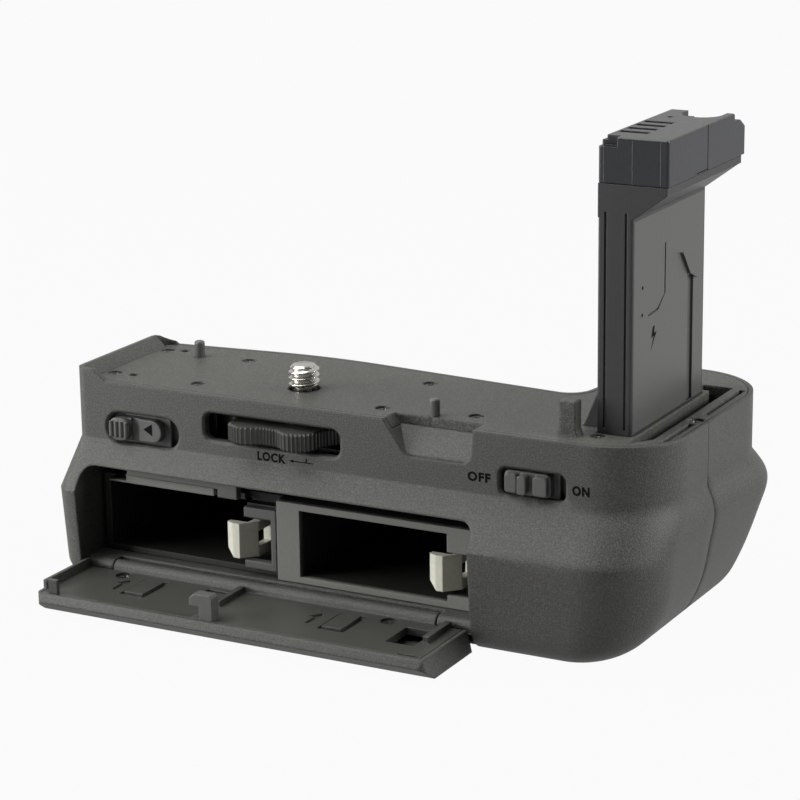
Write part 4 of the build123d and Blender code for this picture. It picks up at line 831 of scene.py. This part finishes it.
# %% Pointers and the insert's marks
mark_thickness = 0.0001
dot_sides = 12
dot_radius = 0.35


def facing_rear(y):
    """Puts (x, z) pairs on an upright plane that faces the rear."""
    return lambda x, z: (x * mm, y * mm, z * mm)


def facing_side(x):
    """Puts (y, z) pairs on an upright plane that faces a side."""
    return lambda y, z: (x * mm, y * mm, z * mm)


def flat_marks(name, outlines, place, step, body, paint=mark_paint, slot="black_plastic"):
    """Plates from 2-D outlines, thickened by a step; `place` turns a pair into a point."""
    shape = bmesh.new()
    for outline in outlines:
        shape.faces.new([shape.verts.new(place(first, second)) for first, second in outline])
    raise_faces(shape, Vector(step))
    new_piece(name, shape, paint, body)
    print(name, "outlines:", len(outlines))


def rectangle(left, right, low, high):
    """The outline of a plain bar."""
    return [(left, low), (right, low), (right, high), (left, high)]


def ring_outline(centre, radius):
    """The outline of a dot."""
    turns = [math.tau * step / dot_sides for step in range(dot_sides)]
    across, up = centre
    return [(across + radius * math.cos(turn), up + radius * math.sin(turn)) for turn in turns]


inwards = (0, mark_thickness, 0)
arrow_line = rectangle(4.3, 9.2, -11.5, -11.3)
arrow_head = [(3.7, -11.4), (4.7, -11.75), (4.7, -11.05)]
arrow_tick = rectangle(7.5, 7.85, -11.3, -10.5)
arrow = [arrow_line, arrow_head, arrow_tick]
flat_marks("lock_arrow", arrow, facing_rear(-13.04), inwards, "housing")
slide_triangle = [(-31.2, -9.3), (-29.06, -10.55), (-29.06, -8.0)]
flat_marks("slide_pointer", [slide_triangle], facing_rear(-12.73), inwards, "slide")
lightning = [(6.1, 19.4), (5.3, 17.3), (6.6, 17.55), (5.1, 14.9)]
lightning += [(7.9, 18.2), (6.6, 18.0), (6.9, 19.5)]
dots = [ring_outline(centre, dot_radius) for centre in ((0.9, 28.1), (0.8, 22.8))]
leftwards = (-mark_thickness, 0, 0)
flat_marks("panel_marks", [lightning, *dots], facing_side(74.13), leftwards, "housing")

# %% [markdown]
# ## Closing the slots of the sliding controls
# The real grip shows no dark inside through its slots. So each slot gets a thin wall with rounded
# corners, fixed in the casing on the far side of the control's sliding base plate.

# %% Close the slots
slot_wall_rear = -9.6
slot_wall_step = (0, 0.6 * mm, 0)
slot_wall_corner = 0.6
corner_steps = 4


def soft_rectangle(left, right, low, high):
    """A rectangle whose corners are rounded."""
    inner_right, inner_left = right - slot_wall_corner, left + slot_wall_corner
    inner_high, inner_low = high - slot_wall_corner, low + slot_wall_corner
    centres = [(inner_right, inner_high), (inner_left, inner_high)]
    centres += [(inner_left, inner_low), (inner_right, inner_low)]
    outline = []
    for quarter, (x, z) in enumerate(centres):
        for step in range(corner_steps + 1):
            turn = math.pi / 2 * (quarter + step / corner_steps)
            across, up = slot_wall_corner * math.cos(turn), slot_wall_corner * math.sin(turn)
            outline.append((x + across, z + up))
    return outline


slot_walls = [soft_rectangle(-41.0, -21.8, -13.3, -5.5), soft_rectangle(49.7, 65.4, -12.8, -5.8)]
walls_place = facing_rear(slot_wall_rear)
flat_marks("slot_walls", slot_walls, walls_place, slot_wall_step, "housing", control_plastic)

# %% [markdown]
# ## The finger notch's sloping floor
# A finger reaches into the notch to lift the camera's door. The notch's far wall slopes towards
# the finger, so it catches the overhead lamp and is the palest patch of the rear. A wedge inside
# the notch gives that slope. Its ends and its foot are buried in the notch's own walls.

# %% Slope the finger notch
wedge_left, wedge_right = 25.0, 45.6
wedge_profile = [(-7.9, -2.0), (-8.2, -2.0), (-12.3, -6.75), (-12.3, -7.9), (-7.9, -7.9)]
wedge_step = ((wedge_right - wedge_left) * mm, 0, 0)
wedge_place = facing_side(wedge_left)
casing_finish = (casing_plastic, "casing")
flat_marks("notch_wedge", [wedge_profile], wedge_place, wedge_step, "housing", *casing_finish)

# %% [markdown]
# ## The fillet inside the plate's left lip
# The plate ends on the left in a raised lip that stops the camera from sliding off. A moulding is
# never a thin upright fin on a flat plate: the lip leans into it with a slope. The fillet's back is
# buried in the lip, and its rear end in the lip's return.

# %% Lean the lip into the plate
lip_profile = [(-46.6, -0.6), (-46.6, 2.15), (-46.3, 2.15)]
lip_profile += [(-45.0, 1.2), (-43.9, 0.02), (-43.9, -0.6)]
lip_rear, lip_front = -12.0, 16.2
lip_step = (0, (lip_front - lip_rear) * mm, 0)
lip_place = facing_rear(lip_rear)
flat_marks("lip_fillet", [lip_profile], lip_place, lip_step, "housing", *casing_finish)

# %% [markdown]
# ## Seams of the insert's head
# The head is pressed together from a cap and two cheeks. Their joints show as hair lines, drawn as
# narrow plates a few hundredths of a millimetre proud. At the rear their edges catch the light, so
# there the plates are pale, a painted highlight; at the side they are as dark as the gap they stand
# for.

# %% Head seams
half_seam = 0.16 / 2
seam_foot, rear_seam_top, side_seam_top = 48.8, 57.0, 57.4
level_seam_height = 49.0
# The pale colour of the rear seams is a painted highlight on edges that catch the light.
seam_shine = satin_plastic("seam_shine", (0.13, 0.135, 0.13), 0.35)


def upright_seam(across, top):
    """A hair line up the head at this place across it."""
    return rectangle(across - half_seam, across + half_seam, seam_foot, top)


rear_seams = [upright_seam(x, rear_seam_top) for x in (68.0, 73.84, 79.53)]
rear_place = facing_rear(-4.03)
flat_marks("head_rear_seams", rear_seams, rear_place, inwards, "housing", seam_shine)
level_seam = rectangle(9.9, 15.5, level_seam_height - half_seam, level_seam_height + half_seam)
side_seams = [upright_seam(15.3, side_seam_top), level_seam]
flat_marks("head_side_seams", side_seams, facing_side(81.13), leftwards, "housing")

# %% [markdown]
# ## Finish

# %% Finish
print("scene built")
